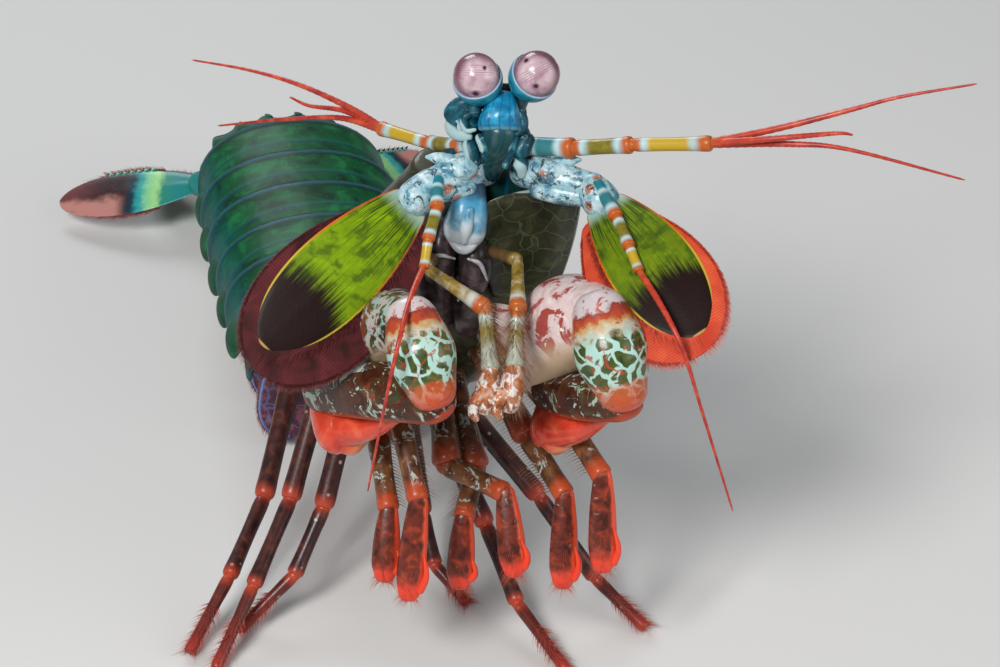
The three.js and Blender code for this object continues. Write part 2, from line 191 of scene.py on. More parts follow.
print("a ring's corner at full 0.8:", round(box_round(math.sqrt(0.5), 0.8), 3))


# %% Sweep a ring through sections
def sweep(sections, segments, flows=None, full=1.0, low_full=None, relief=None):
    """A closed skin through the sections, as a small bmesh. full under 1 squares the ring."""
    bm = bmesh.new()
    flow = bm.verts.layers.float_vector.new("flow")
    low_full = full if low_full is None else low_full
    last = len(sections) - 1

    def lay(verts, i):
        ring = sections[i]
        share = flows[i] if flows else i / last
        for v in verts:
            aside, above = v[flow].y, v[flow].z
            lift = relief(share, aside, above) if relief else 1
            power = full if above > 0 else low_full
            across = box_round(aside, power) * ring["wide"] * lift
            up = box_round(above, power) * ring["high" if above > 0 else "low"] * lift
            v.co = ring["centre"] + ring["side"] * across + ring["back"] * up
            v[flow] = Vector((share, aside, above))

    verts = bmesh.ops.create_circle(bm, cap_ends=False, segments=segments, radius=1)["verts"]
    for v in verts:
        v[flow] = Vector((0, v.co.x, v.co.y))
    lay(verts, 0)
    edges = list(bm.edges)
    bmesh.ops.contextual_create(bm, geom=edges)
    for i in range(1, last + 1):
        grown = bmesh.ops.extrude_edge_only(bm, edges=edges)["geom"]
        edges = [e for e in grown if isinstance(e, bmesh.types.BMEdge)]
        lay([v for v in grown if isinstance(v, bmesh.types.BMVert)], i)
    bmesh.ops.contextual_create(bm, geom=edges)
    bmesh.ops.recalc_face_normals(bm, faces=bm.faces)
    return bm


# %% [markdown]
# ## Rods and finished pieces
# A rod is a sweep along a smooth curve. Two more rings past each end, ever narrower, make it round
# there. When a piece is finished its rods are joined, moved into the frame, smoothed by one level of
# subdivision, and the nodes of the solid model that they stand for are hidden.

# %% Rods
CAP_RINGS = 2
CAP_REACH = 0.42
CAP_SPAN = 2.3
LENGTH_STEPS = 8


def rod(points, radii, segments, steps, up=(0, 0, 1), flat=1.0, flow_from=0.0, flow_to=1.0, **shape):
    """A bent rod through plan points, round at both ends."""
    points = [Vector(p) for p in points]
    sizes = [Vector((r, 0, 0)) for r in radii]
    up = Vector(up)
    places = [smooth(points, i / LENGTH_STEPS) for i in range(LENGTH_STEPS + 1)]
    length = sum((b - a).length for a, b in zip(places, places[1:]))
    total = length + CAP_RINGS * CAP_REACH * (radii[0] + radii[-1])
    sections, flows = [], []
    for i in range(-CAP_RINGS, steps + CAP_RINGS + 1):
        t = min(max(i / steps, 0), 1)
        past = abs(i / steps - t) * steps
        narrow = math.sqrt(1 - (past / CAP_SPAN) ** 2)
        tangent = heading(points, t)
        side, back = sides(tangent, up)
        radius = smooth(sizes, t).x
        beyond = CAP_REACH * past * radius * (1 if i > 0 else -1)
        centre = smooth(points, t) + tangent * beyond
        sections.append(section(centre, side, back, radius * narrow, radius * narrow * flat))
        so_far = CAP_RINGS * CAP_REACH * radii[0] + length * t + beyond
        flows.append(flow_from + (flow_to - flow_from) * so_far / total)
    return sweep(sections, segments, flows, **shape)


def stick(start, end, radii, segments, steps, **shape):
    """A straight rod with a radius at its start, middle and end."""
    return rod([start, start.lerp(end, 0.5), end], radii, segments, steps, **shape)


print("a rod has", 2 * CAP_RINGS, "rings in its round ends")


# %% Join and finish
def joined(pieces):
    """Several small bmeshes made one."""
    whole = bmesh.new()
    whole.verts.layers.float_vector.new("flow")
    for bm in pieces:
        part = bpy.data.meshes.new("part")
        bm.to_mesh(part)
        bm.free()
        whole.from_mesh(part)
        bpy.data.meshes.remove(part)
    return whole


def set_in_frame(bm, name, material, nodes, smoother=0):
    """Moves a plan bmesh into the frame as an object that stands for the nodes."""
    bmesh.ops.transform(bm, matrix=TO_FRAME, verts=bm.verts)
    mesh = bpy.data.meshes.new(name)
    bm.to_mesh(mesh)
    bm.free()
    mesh.materials.append(material)
    piece = bpy.data.objects.new(name, mesh)
    bpy.context.scene.collection.objects.link(piece)
    if smoother:
        rounding = piece.modifiers.new("rounding", "SUBSURF")
        rounding.levels = smoother
        rounding.render_levels = smoother
    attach(piece, "root")
    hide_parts(*nodes)
    print(name, len(mesh.polygons), "faces")


def finish_piece(pieces, name, material, nodes, smoother=1):
    """Turns plan pieces into one smooth object."""
    bm = joined(pieces)
    for face in bm.faces:
        face.smooth = True
    set_in_frame(bm, name, material, nodes, smoother)


# %% [markdown]
# ## Paint
# A shell's colour is built in layers: a mottled ground, bands that follow the part, pale marbling
# and a grain that also lifts the surface. This small kit adds such layers to one material. Uniform
# values go on the shader's own sockets.

# %% A bare paint
COAT_SHARE = 0.5
COAT_ROUGH = 0.12
GLOW_DEPTHS = (0.002, 0.001, 0.0007)


class Bare:
    """A material without colour yet."""

    def __init__(self, name, rough, coat, thin=0.0, shine=0.3):
        self.material = bpy.data.materials.new(name)
        self.material.use_nodes = True
        self.tree = self.material.node_tree
        self.shader = self.tree.nodes["Principled BSDF"]
        self.put(self.shader, {
            "Roughness": rough,
            "Specular IOR Level": shine,
            "Coat Weight": coat * COAT_SHARE,
            "Coat Roughness": COAT_ROUGH,
            "Subsurface Weight": thin,
            "Subsurface Radius": GLOW_DEPTHS,
            "Subsurface Scale": 1.0,
        })
        self.place = self.add("ShaderNodeTexCoord").outputs["Object"]
        self.flow = self.add("ShaderNodeAttribute")
        self.flow.attribute_name = "flow"
        split = self.add("ShaderNodeSeparateXYZ")
        self.tree.links.new(self.flow.outputs["Vector"], split.inputs[0])
        self.along, self.across, self.up = split.outputs
        self.colour = None

    def add(self, kind, **settings):
        node = self.tree.nodes.new(kind)
        for key, value in settings.items():
            setattr(node, key, value)
        return node

    def feed(self, socket, value):
        if isinstance(value, bpy.types.NodeSocket):
            self.tree.links.new(value, socket)
        else:
            socket.default_value = value

    def put(self, node, values):
        """Sets or joins inputs of a node, each by its name or number."""
        for name, value in values.items():
            self.feed(node.inputs[name], value)


# %% Sums
class Sums(Bare):
    """Sums of sockets and numbers, as nodes."""

    def math(self, kind, a, b=0.0):
        node = self.add("ShaderNodeMath", operation=kind)
        self.put(node, {0: a, 1: b})
        return node.outputs[0]

    def times(self, a, b):
        return self.math("MULTIPLY", a, b)

    def plus(self, a, b):
        return self.math("ADD", a, b)

    def size(self, a):
        return self.math("ABSOLUTE", a)

    def between(self, value, low, high):
        """0 below low, 1 above high, eased between; with low over high it falls instead."""
        node = self.add("ShaderNodeMapRange", interpolation_type="SMOOTHSTEP")
        self.put(node, {"Value": value, "From Min": low, "From Max": high})
        return node.outputs[0]


# %% Patterns
class Patterns(Sums):
    """The patterns that a colour can follow, sized in millimetres."""

    def noise(self, size_mm, detail=3.0, warp=0.0, rough=0.5):
        """Noise with lumps about size_mm across."""
        node = self.add("ShaderNodeTexNoise")
        self.put(node, {"Vector": self.place, "Scale": 1 / (size_mm * MM), "Detail": detail,
                        "Roughness": rough, "Distortion": warp})
        return node.outputs[0]

    def cells(self, size_mm, feature="F1", warp_mm=0.0):
        """How far a point is from the middle or the edge of a cell about size_mm across."""
        node = self.add("ShaderNodeTexVoronoi", feature=feature)
        vector = self.place
        if warp_mm:
            drift = self.add("ShaderNodeTexNoise")
            self.put(drift, {"Vector": self.place, "Scale": 0.7 / (size_mm * MM)})
            push = self.add("ShaderNodeVectorMath", operation="MULTIPLY_ADD")
            self.put(push, {0: drift.outputs["Color"], 1: (warp_mm * MM,) * 3, 2: self.place})
            vector = push.outputs[0]
        self.put(node, {"Vector": vector, "Scale": 1 / (size_mm * MM)})
        return node.outputs["Distance"]

    def ramp(self, value, stops):
        node = self.add("ShaderNodeValToRGB")
        node.color_ramp.interpolation = "EASE"
        while len(node.color_ramp.elements) < len(stops):
            node.color_ramp.elements.new(0.5)
        for element, (position, colour) in zip(node.color_ramp.elements, stops):
            element.position = position
            element.color = colour if len(colour) == 4 else (*colour, 1)
        self.feed(node.inputs[0], value)
        return node


# %% Layers of colour
GROUND_RANGE = (0.32, 0.68)
RAG_SIZE = 1.2
SOFT = 0.6


class Layers(Patterns):
    """Colour laid on layer by layer."""

    def ground(self, colours, size_mm=2.5, detail=4.0, warp=0.6):
        """A mottled first coat."""
        first, last = GROUND_RANGE
        stops = [(first + (last - first) * i / (len(colours) - 1), c) for i, c in enumerate(colours)]
        self.colour = self.ramp(self.noise(size_mm, detail, warp), stops).outputs["Color"]

    def over(self, share, colour):
        """Lays a colour over what is there, by share."""
        node = self.add("ShaderNodeMix", data_type="RGBA")
        if not isinstance(colour, bpy.types.NodeSocket):
            colour = (*colour, 1)
        self.put(node, {0: share, 6: self.colour, 7: colour})
        self.colour = node.outputs[2]

    def bands(self, stops, rag=0.0):
        """Colours along the part; a stop's fourth number is how well it covers."""
        value = self.along
        if rag:
            wander = self.math("SUBTRACT", self.noise(RAG_SIZE), 0.5)
            value = self.plus(value, self.times(wander, rag))
        node = self.ramp(value, stops)
        self.over(node.outputs["Alpha"], node.outputs["Color"])


# %% Marbling, nets, dots and the finish
NET_WARP = 1.5
RELIEF = 0.0001


class Paint(Layers):
    """The whole kit, which every material of the animal is made with."""

    def marble(self, colour, size_mm, low, high, strength):
        """Wandering veins and blots."""
        share = self.between(self.noise(size_mm, 5, 1.5, 0.65), low, high)
        self.over(self.times(share, strength), colour)

    def net(self, colour, size_mm, width, strength):
        """A net of thin lines, such as that on the wrists."""
        edges = self.cells(size_mm, "DISTANCE_TO_EDGE", size_mm * NET_WARP)
        self.over(self.times(self.between(edges, width, width * SOFT), strength), colour)

    def specks(self, colour, size_mm, reach, strength):
        """Round dots."""
        share = self.between(self.cells(size_mm), reach, reach * SOFT)
        self.over(self.times(share, strength), colour)

    def done(self, grain_mm, lift, pits_mm=0.0):
        """Joins the colour and a fine relief to the shader."""
        height = self.noise(grain_mm, 3)
        if pits_mm:
            height = self.plus(height, self.between(self.cells(pits_mm), 0.1, 0.5))
        bump = self.add("ShaderNodeBump")
        self.put(bump, {"Strength": lift, "Distance": RELIEF, "Height": height})
        self.put(self.shader, {"Base Color": self.colour, "Normal": bump.outputs[0]})
        print("paint", self.material.name, len(self.tree.nodes), "nodes")
        return self.material


# %% [markdown]
# ## The trunk's course
# From between the eyes the trunk runs down and back, then out behind along the floor. The course
# gives its middle line, half width, height of the back and depth of the belly. The rings of shell,
# the head and the carapace all take their sections from it.

# %% Sections of the trunk
COURSE = [
    ((0.8, 6.5, 77), (3.2, 2.8, 2.2)),
    ((0.4, 7.5, 71), (6, 4, 3.5)),
    ((-0.8, 9, 65), (9.5, 5.5, 5)),
    ((-4.5, 11, 54.5), (12.5, 7.5, 6.5)),
    ((-9.5, 13.5, 44), (14.5, 8.5, 7.5)),
    ((-14, 18, 35.5), (13, 8.5, 7.5)),
    ((-18, 23.5, 29.5), (13.5, 9, 8)),
    ((-21.5, 30, 25.5), (14.5, 9.3, 8)),
    ((-24, 36.5, 22.5), (15.5, 9.8, 8.5)),
    ((-26, 46, 21), (16, 10, 8.5)),
    ((-28, 56.5, 20), (16.2, 10.2, 8.5)),
    ((-30.3, 67, 19.5), (16.2, 10.4, 8.3)),
    ((-32.4, 77.5, 19), (16, 10.5, 8)),
    ((-34.5, 88, 18.3), (15.2, 10.2, 7.5)),
    ((-36.6, 97.5, 15.5), (12.5, 8, 6)),
]
MIDDLE = [Vector(at) for at, size in COURSE]
GIRTH = [Vector(size) for at, size in COURSE]
HEAD_BACK = Vector((0.42, 0.9, 0.2))
TAIL_BACK = Vector((0, 0.2, 1))
TURN = (3, 9)
print("trunk", round(sum((b - a).length for a, b in zip(MIDDLE, MIDDLE[1:]))), "mm long")


def trunk(station, swell=1.0):
    """The trunk's section at a station of the course."""
    t = station / (len(COURSE) - 1)
    tailward = heading(MIDDLE, t)
    turn = min(max((station - TURN[0]) / (TURN[1] - TURN[0]), 0), 1)
    turn = turn * turn * (3 - 2 * turn)
    side, back = sides(tailward, HEAD_BACK.lerp(TAIL_BACK, turn))
    wide, high, low = smooth(GIRTH, t) * swell
    return section(smooth(MIDDLE, t), side, back, wide, high, low)


def on_trunk(station, across, height):
    """A point on the trunk, across and height being shares of its half width and height there."""
    ring = trunk(station)
    rise = height * ring["high" if height > 0 else "low"]
    return ring["centre"] + ring["side"] * across * ring["wide"] + ring["back"] * rise


# %% [markdown]
# ## Shell rings
# Each ring of the trunk is one plate of shell. It starts narrow, tucked under the ring before it,
# and ends in a raised rim that laps over the next. A lathe would give a true circle, so the sections
# of the trunk are extruded instead, with the rim worked into their size.

# %% Shell paints
DARK_GREEN = (0.002, 0.065, 0.022)
DEEP_TEAL = (0.003, 0.045, 0.06)
SKY = (0.005, 0.12, 0.2)
OLIVE = (0.03, 0.028, 0.012)
MAROON = (0.06, 0.012, 0.014)

paint = Paint("abdomen_shell", rough=0.5, coat=0.08, shine=0.12)
paint.ground([(0.001, 0.025, 0.01), (0.002, 0.065, 0.02), (0.008, 0.13, 0.04)], 4)
paint.bands([(0.0, (*DEEP_TEAL, 0.8)), (0.12, (*DARK_GREEN, 0)), (0.33, (*DARK_GREEN, 0)),
             (0.39, (*DEEP_TEAL, 0.7)), (0.45, (0.006, 0.11, 0.07, 0.5)), (0.55, (*DARK_GREEN, 0)),
             (0.78, (*DARK_GREEN, 0)), (0.84, (0.012, 0.014, 0.006, 0.8)), (0.88, (*DEEP_TEAL, 0.9)),
             (0.93, (0.003, 0.1, 0.12, 0.85)), (0.98, (0.02, 0.02, 0.012, 1))], rag=0.07)
side_share = paint.between(paint.size(paint.across), 0.72, 1.0)
paint.over(paint.times(side_share, 0.4), (0.003, 0.08, 0.12))
paint.specks((0.04, 0.22, 0.1), 1.6, 0.14, 0.35)
paint.over(paint.between(paint.up, -0.35, -0.7), (0.2, 0.11, 0.1))
abdomen_shell = paint.done(0.7, 0.2)

paint = Paint("carapace_shell", rough=0.4, coat=0.35)
paint.ground([(0.012, 0.012, 0.005), OLIVE, (0.06, 0.06, 0.022)], 3)
back_share = paint.times(paint.between(paint.along, 0.3, 0.6), paint.between(paint.up, -0.2, 0.3))
paint.over(back_share, DARK_GREEN)
paint.marble((0.09, 0.09, 0.04), 2.2, 0.58, 0.68, 0.5)
paint.bands([(0.0, (0.08, 0.08, 0.06, 0.9)), (0.02, (*OLIVE, 0)), (0.9, (*OLIVE, 0)),
             (0.95, (*DEEP_TEAL, 0.9)), (0.99, (*SKY, 0.9))], rag=0.01)
thorax_shell = paint.done(0.6, 0.25)

# %% Rings and their side lobes
RIM = [(0.0, 0.86), (0.04, 0.925), (0.3, 0.955), (0.55, 0.97), (0.74, 0.985), (0.8, 1.0), (0.84, 1.008),
       (0.92, 1.014), (0.98, 1.014), (1.0, 1.0), (1.0, 0.965), (0.99, 0.9)]
LAP = 0.1


def shell_ring(start, end, rims=RIM, segments=48, relief=None):
    """One ring of shell from station start to end, lapping a little over the next."""
    sections, flows = [], []
    for share, swell in rims:
        sections.append(trunk(start + (end + LAP - start) * share, swell))
        flows.append(share)
    return sweep(sections, segments, flows, full=0.92, low_full=0.75, relief=relief)


def pleuron(end, across, size=1.0):
    """The flat lobe at a ring's lower hind corner."""
    top = on_trunk(end - 0.6, across * 0.9, -0.05)
    middle = on_trunk(end - 0.35, across * 0.97, -0.4)
    tip = on_trunk(end - 0.05, across * 0.93, -0.72)
    bm = rod([top, middle, tip], [2.9 * size, 2.8 * size, 1.5 * size], 16, 10, flat=0.42,
             up=tuple(trunk(end)["side"]), flow_from=0.55)
    flow = bm.verts.layers.float_vector["flow"]
    for v in bm.verts:
        v[flow] = Vector((v[flow].x, 0.8, 0.3))
    return bm

# %% Rings of the thorax
STOPS = {"thorax_6": (4.75, 5.75), "thorax_7": (5.75, 6.75), "thorax_8": (6.75, 7.8)}
for name, (start, end) in STOPS.items():
    pieces = [shell_ring(start, end), pleuron(end, -1, 0.8), pleuron(end, 1, 0.8)]
    finish_piece(pieces, name + "_shell", abdomen_shell, [name])

# %% [markdown]
# ## The abdomen
# Six rings follow, each with a flat lobe at its lower hind corners. The last one carries six keels that
# end in points over the tail. They are a swelling of the ring's own sections, with a small spike at
# the end of each.

# %% Rings of the abdomen
ABDOMEN = [7.8, 8.9, 9.9, 10.9, 11.9, 12.95, 14]
KEELS = (-0.8, -0.5, -0.18, 0.18, 0.5, 0.8)
KEEL_WIDE = 0.055
KEEL_HIGH = 0.1


def keeled(share, aside, above):
    """Six lengthwise keels on the last ring of the abdomen."""
    if above <= 0:
        return 1
    ridge = max(math.exp(-((aside - keel) / KEEL_WIDE) ** 2) for keel in KEELS)
    return 1 + KEEL_HIGH * ridge * min(1, share * 3)


for n in range(1, len(ABDOMEN)):
    start, end = ABDOMEN[n - 1], ABDOMEN[n]
    pieces = [pleuron(end, -1), pleuron(end, 1)]
    if n < 6:
        pieces.append(shell_ring(start, end))
    else:
        pieces.append(shell_ring(start, end - LAP, segments=96, relief=keeled))
        for across in KEELS:
            rise = math.sqrt(1 - across * across)
            root = on_trunk(end - 0.5, across, 0.98 * rise)
            tip = on_trunk(end, across * 1.1, 1.12 * rise)
            pieces.append(stick(root, tip, [0.9, 0.6, 0.12], 8, 4))
    finish_piece(pieces, f"abdomen_{n}_shell", abdomen_shell, [f"abdomen_{n}"])

# %% [markdown]
# ## Thin blades
# Tail blades, feeler scales, flaps and the shield over the eye stalks are all leaves: broad, thin
# and a little bowed. One helper extrudes a flat ring along the leaf and gives it a midrib. Another
# gives the places along its edge, where a fringe of bristles can grow.

# %% Leaves
LEAF_POINT = 0.06
CROWDING = 1.6
RIB_WIDE = 0.12


def leaf_frame(base, tip, face):
    """A leaf's base, the way along it, and the ways across and out of its face."""
    along = Vector(tip) - Vector(base)
    return Vector(base), along, *sides(along, Vector(face))


def leaf_swell(t, fullest, heel):
    """An oval that is fullest at share fullest and as wide as heel at its base."""
    if t > fullest:
        return max(math.sqrt(max(0, 1 - ((t - fullest) / (1 - fullest)) ** 2)), LEAF_POINT)
    return heel + (1 - heel) * math.sin(math.pi / 2 * t / fullest) ** 0.85


def leaf(base, tip, face, width, thick, fullest=0.5, heel=0.3, bow=0.0, steps=22, segments=24, rib=0.5):
    """A thin blade; flow runs from base to tip and from edge to edge."""
    start, along, side, back = leaf_frame(base, tip, face)
    sections, flows = [], []
    for i in range(steps + 1):
        t = 1 - (1 - i / steps) ** CROWDING
        swell = leaf_swell(t, fullest, heel)
        flows.append(t)
        centre = start + along * t + back * (bow * math.sin(math.pi * t))
        sections.append(section(centre, side, back, 0.5 * width * swell, 0.5 * thick * max(swell, 0.5)))

    def midrib(share, aside, above):
        ridge = rib * math.exp(-(aside / RIB_WIDE) ** 2) * (1 - share)
        return 1 + ridge if abs(above) > 0.5 else 1

    return sweep(sections, segments, flows, relief=midrib if rib else None)


print("a leaf is as wide as its heel at the base:", leaf_swell(0, 0.5, 0.3))


# %% A leaf's edge
def leaf_edge(base, tip, face, width, fullest, heel=0.3, bow=0.0):
    """A function that gives the place on a leaf's edge at share t, and the way out from it.

    That way turns from sideways at the base to forwards at the tip.
    """
    start, along, side, back = leaf_frame(base, tip, face)

    def at(t, hand):
        here = start + along * t + back * (bow * math.sin(math.pi * t))
        here += side * (hand * 0.5 * width * leaf_swell(t, fullest, heel))
        out = (side * hand * (1.15 - t) + along.normalized() * (0.35 + 1.3 * t * t)).normalized()
        return here, out, back

    return at


# %% [markdown]
# ## The carapace
# The shield over the head and the first limbs is one plate with two lengthwise grooves. Its front
# edge is pale and thick, and its sides come forward as wings beside the mouthparts.

# %% Shield
GROOVES = (-0.42, 0.42)
GROOVE_WIDE = 0.06
GROOVE_DEEP = 0.035
CREST_WIDE = 0.05
CREST_HIGH = 0.02


def grooved(share, aside, above):
    """Two grooves and a low crest between them, on the back alone."""
    if above <= 0:
        return 1
    groove = max(math.exp(-((aside - at) / GROOVE_WIDE) ** 2) for at in GROOVES)
    crest = math.exp(-(aside / CREST_WIDE) ** 2)
    return 1 - GROOVE_DEEP * groove + CREST_HIGH * crest


SHIELD = [(0.0, 0.8), (0.0, 0.93), (0.012, 1.0), (0.04, 1.015), (0.075, 0.99), (0.15, 0.975), (0.3, 0.98),
          (0.5, 0.985), (0.7, 0.99), (0.86, 0.995), (0.93, 1.02), (0.985, 1.03), (1.0, 1.0), (0.99, 0.9)]
finish_piece([shell_ring(2.3, 4.75 - LAP * 0.3, SHIELD, 80, grooved)], "carapace_shield", thorax_shell,
             ["carapace"])

# %% Wings
paint = Paint("carapace_wing", rough=0.38, coat=0.5)
paint.ground([(0.01, 0.012, 0.004), (0.022, 0.024, 0.009), (0.045, 0.05, 0.018)], 2.6)
paint.net((0.06, 0.09, 0.05), 3.4, 0.03, 0.7)
wing_rim = paint.math("MAXIMUM", paint.between(paint.across, 0.955, 0.985),
                      paint.between(paint.along, 0.985, 0.994))
paint.over(wing_rim, (0.25, 0.3, 0.28))
wings = [leaf((3.2, 4.2, 48), (4.4, 2.4, 66), (0.22, -1, 0.2), 13.6, 1.1, 0.86, 0.62, rib=0),
         leaf((-9.5, 6.2, 48), (-7, 5.2, 64.5), (-0.5, -1, 0.1), 9, 1.1, 0.8, 0.5, rib=0)]
finish_piece(wings, "carapace_wings", paint.done(0.5, 0.2), ["carapace"])

# %% [markdown]
# ## The head
# The narrow head runs up between the feelers to the eyes. Below the eye stalks the face is a blue
# brow with three soft ridges, and curled lobes of soft skin hang beside it. The brow is a sweep whose
# sections are written one by one, since no rule gives a face.

# %% Face paints
paint = Paint("face_shell", rough=0.35, coat=0.5)
paint.ground([(0.003, 0.08, 0.16), (0.003, 0.17, 0.33), (0.02, 0.3, 0.5)], 2.0)
paint.bands([(0.34, (0.02, 0.3, 0.5, 0)), (0.42, (0.2, 0.48, 0.6, 0.85)), (0.5, (0.25, 0.5, 0.6, 0.8)),
             (0.6, (0.02, 0.09, 0.1, 0.9)), (0.8, (0.004, 0.035, 0.03, 1)),
             (1.0, (0.003, 0.012, 0.012, 1))], rag=0.06)
crease = paint.size(paint.math("SINE", paint.times(paint.across, 7)))
crease = paint.times(paint.between(crease, 0.4, 0.05), 0.6)
paint.over(crease, (0.002, 0.07, 0.15))
face_shell = paint.done(0.4, 0.25)
paint = Paint("face_lobes", rough=0.45, coat=0.2, shine=0.2)
paint.ground([(0.002, 0.02, 0.03), (0.006, 0.06, 0.09), (0.02, 0.16, 0.2)], 1.6)
paint.over(paint.between(paint.across, 0.55, 0.85), (0.35, 0.5, 0.5))
paint.marble((0.4, 0.55, 0.55), 1.5, 0.6, 0.66, 0.7)
face_lobe = paint.done(0.4, 0.3)

# %% Head, brow and chin
HEAD_RINGS = [(0.02, 0.5), (0.05, 0.62), (0.1, 0.7), (0.3, 0.74), (0.6, 0.74), (1.0, 0.8),
              (1.3, 0.82), (1.35, 0.7)]
head = sweep([trunk(1.6 * share + 0.5, swell) for share, swell in HEAD_RINGS], 32,
             [0.75 + 0.15 * share for share, swell in HEAD_RINGS])
FACE = [((0.5, 6.9, 78.5), 1.3, 1.0), ((0.3, 6, 77.6), 1.9, 1.7), ((0.1, 5.1, 76.6), 2.35, 2.2),
        ((-0.1, 4.5, 75.6), 2.7, 2.4), ((-0.1, 4.2, 74.8), 2.8, 2.35), ((0, 4.1, 74.2), 2.75, 2.1),
        ((0, 4.3, 73.7), 2.5, 1.6)]


RIDGES_ROUND = 8
RIDGE_HIGH = 0.05


def ridged(share, aside, above):
    """Three soft ridges down the front of the face."""
    turn = math.atan2(aside, abs(above) + 0.01)
    return 1 + RIDGE_HIGH * math.cos(RIDGES_ROUND * turn) * min(1, 3 * share)


face_side = Vector((1, 0, 0))
face_front = Vector((0, -0.83, 0.55))
brow = sweep([section(Vector(at), face_side, face_front, wide, high) for at, wide, high in FACE], 40,
             [0.08 * i for i in range(7)], full=0.85, relief=ridged)
chin = rod([(0, 4.8, 73.4), (-0.6, 3.3, 70.8), (-1, 3.6, 67.8)], [2.5, 1.9, 1.2], 22, 10, flow_from=0.62)
finish_piece([head, brow, chin], "head_shell", face_shell, ["head"])

# %% Lobes
lobes = [
    rod([(-2.4, 6.3, 77), (-4.9, 6.6, 76.4), (-6.2, 6.6, 74.4), (-5.6, 5.9, 72.9), (-4, 5, 72.8)],
        [0.7, 1.1, 1.25, 1.1, 0.7], 16, 16, flat=1.3),
    rod([(-3.6, 5.4, 76), (-4.7, 5.2, 75.2), (-4.3, 4.6, 73.9), (-3.3, 4.2, 74.2)],
        [0.4, 0.65, 0.6, 0.35], 12, 12),
    rod([(-3.6, 7, 76.8), (-4.2, 6.6, 74.9), (-4, 6, 73)], [2, 2.3, 1.9], 18, 8, flat=0.6),
    rod([(1.8, 5.8, 76.6), (2.9, 5.3, 75.4), (2.9, 4.5, 74.1), (2.2, 3.9, 73.6)],
        [0.5, 0.75, 0.75, 0.4], 14, 12),
    rod([(-2.6, 4, 73), (-1.8, 2.8, 71.8), (-2, 2.8, 70)], [0.7, 0.9, 0.5], 14, 10),
    rod([(1.9, 4, 73), (1.3, 2.8, 71.6), (0.6, 2.4, 69.6)], [0.7, 0.8, 0.5], 14, 10),
    rod([(3.5, 4.4, 72.6), (2.5, 3.4, 70.6), (2.9, 3.4, 68)], [1.1, 1.3, 0.9], 14, 8),
    rod([(-4, 4.6, 71.6), (-3.5, 3.6, 69.6), (-3.7, 3.6, 67.6)], [1.0, 1.2, 0.8], 14, 8),
]
finish_piece(lobes, "head_lobes", face_lobe, ["head"])

# %% [markdown]
# ## Bristles
# A bristle is a fine cone, bent a little. One cone is created, cut into three lengths and doubled
# until there are enough, which is much quicker than making thousands one by one. Each copy is then
# laid from its own root. A bristle's part of the OFBake map is a tiny patch at its root's place, so
# the whole bristle takes its colour from there.

# %% Copies of one bristle
def multiply(bm, template, count):
    """Doubles what is there until there are count copies of the first template points."""
    while len(bm.verts) < template * count:
        short = count - len(bm.verts) // template
        geom = list(bm.verts) + list(bm.edges) + list(bm.faces)
        if short < len(bm.verts) // template:
            bm.verts.index_update()
            keep = [v for v in bm.verts if v.index < template * short]
            inside = set(keep)
            geom = keep + [e for e in bm.edges if e.verts[0] in inside]
            geom += [f for f in bm.faces if f.verts[0] in inside]
        bmesh.ops.duplicate(bm, geom=geom)
    bm.verts.index_update()


# %% Bristles by the thousand
OFBAKE_PATCH = 0.003
FLOOR_CLEAR = 0.05
CONE_TIP = 0.08
TAPER = 0.7


def bristles(name, roots, material, nodes):
    """roots holds (root, direction, length, bend, radius, u, v), in plan millimetres."""
    bm = bmesh.new()
    flow = bm.verts.layers.float_vector.new("flow")
    bake = bm.loops.layers.uv.new("OFBake")
    bmesh.ops.create_cone(bm, cap_ends=True, segments=3, radius1=1, radius2=CONE_TIP, depth=1,
                          matrix=Matrix.Translation((0, 0, 0.5)))
    upright = [e for e in bm.edges if abs(e.verts[0].co.z - e.verts[1].co.z) > 0.5]
    bmesh.ops.subdivide_edges(bm, edges=upright, cuts=2, use_grid_fill=False)
    template = len(bm.verts)
    for v in bm.verts:
        v[flow] = v.co
    multiply(bm, template, len(roots))
    for v in bm.verts:
        root, direction, length, bend, radius, u, w = roots[v.index // template]
        local = v[flow].copy()
        side = direction.orthogonal().normalized()
        other = direction.cross(side)
        thin = radius * (1 - TAPER * local.z)
        v.co = (root + direction * (length * local.z) + bend * local.z ** 2
                + side * (thin * local.x) + other * (thin * local.y))
        v.co.z = max(v.co.z, FLOOR_CLEAR)
        v[flow] = Vector((local.z, u, w))
    for face in bm.faces:
        for loop in face.loops:
            root = roots[loop.vert.index // template]
            loop[bake].uv = (root[5] + OFBAKE_PATCH * loop.vert[flow].x, root[6])
    bmesh.ops.recalc_face_normals(bm, faces=bm.faces)
    set_in_frame(bm, name, material, nodes)


# %% Fringes
FRINGE_SPREAD = 0.16
FRINGE_DROOP = 0.16
ROOT_DEPTH = 0.25


def fringe_roots(edge, draw, count, longest, start, radius, droop=(0, 0, -1), hands=(-1, 1)):
    """Roots all along a leaf's two edges, longest at its tip."""
    roots = []
    for hand in hands:
        for i in range(count):
            t = start + (1 - start) * (i + draw.random()) / count
            here, out, back = edge(min(t, 1), hand)
            sway = [draw.uniform(-FRINGE_SPREAD, FRINGE_SPREAD) for axis in range(3)]
            out = (out + Vector(sway)).normalized()
            length = longest * (0.35 + 0.65 * t ** 1.5) * draw.uniform(0.75, 1.0)
            bend = Vector(droop) * (FRINGE_DROOP * length) + back * draw.uniform(-0.5, 0.5)
            roots.append((here - out * ROOT_DEPTH, out, length, bend, radius, t * 0.9,
                          0.25 + 0.5 * (hand > 0)))
    return roots


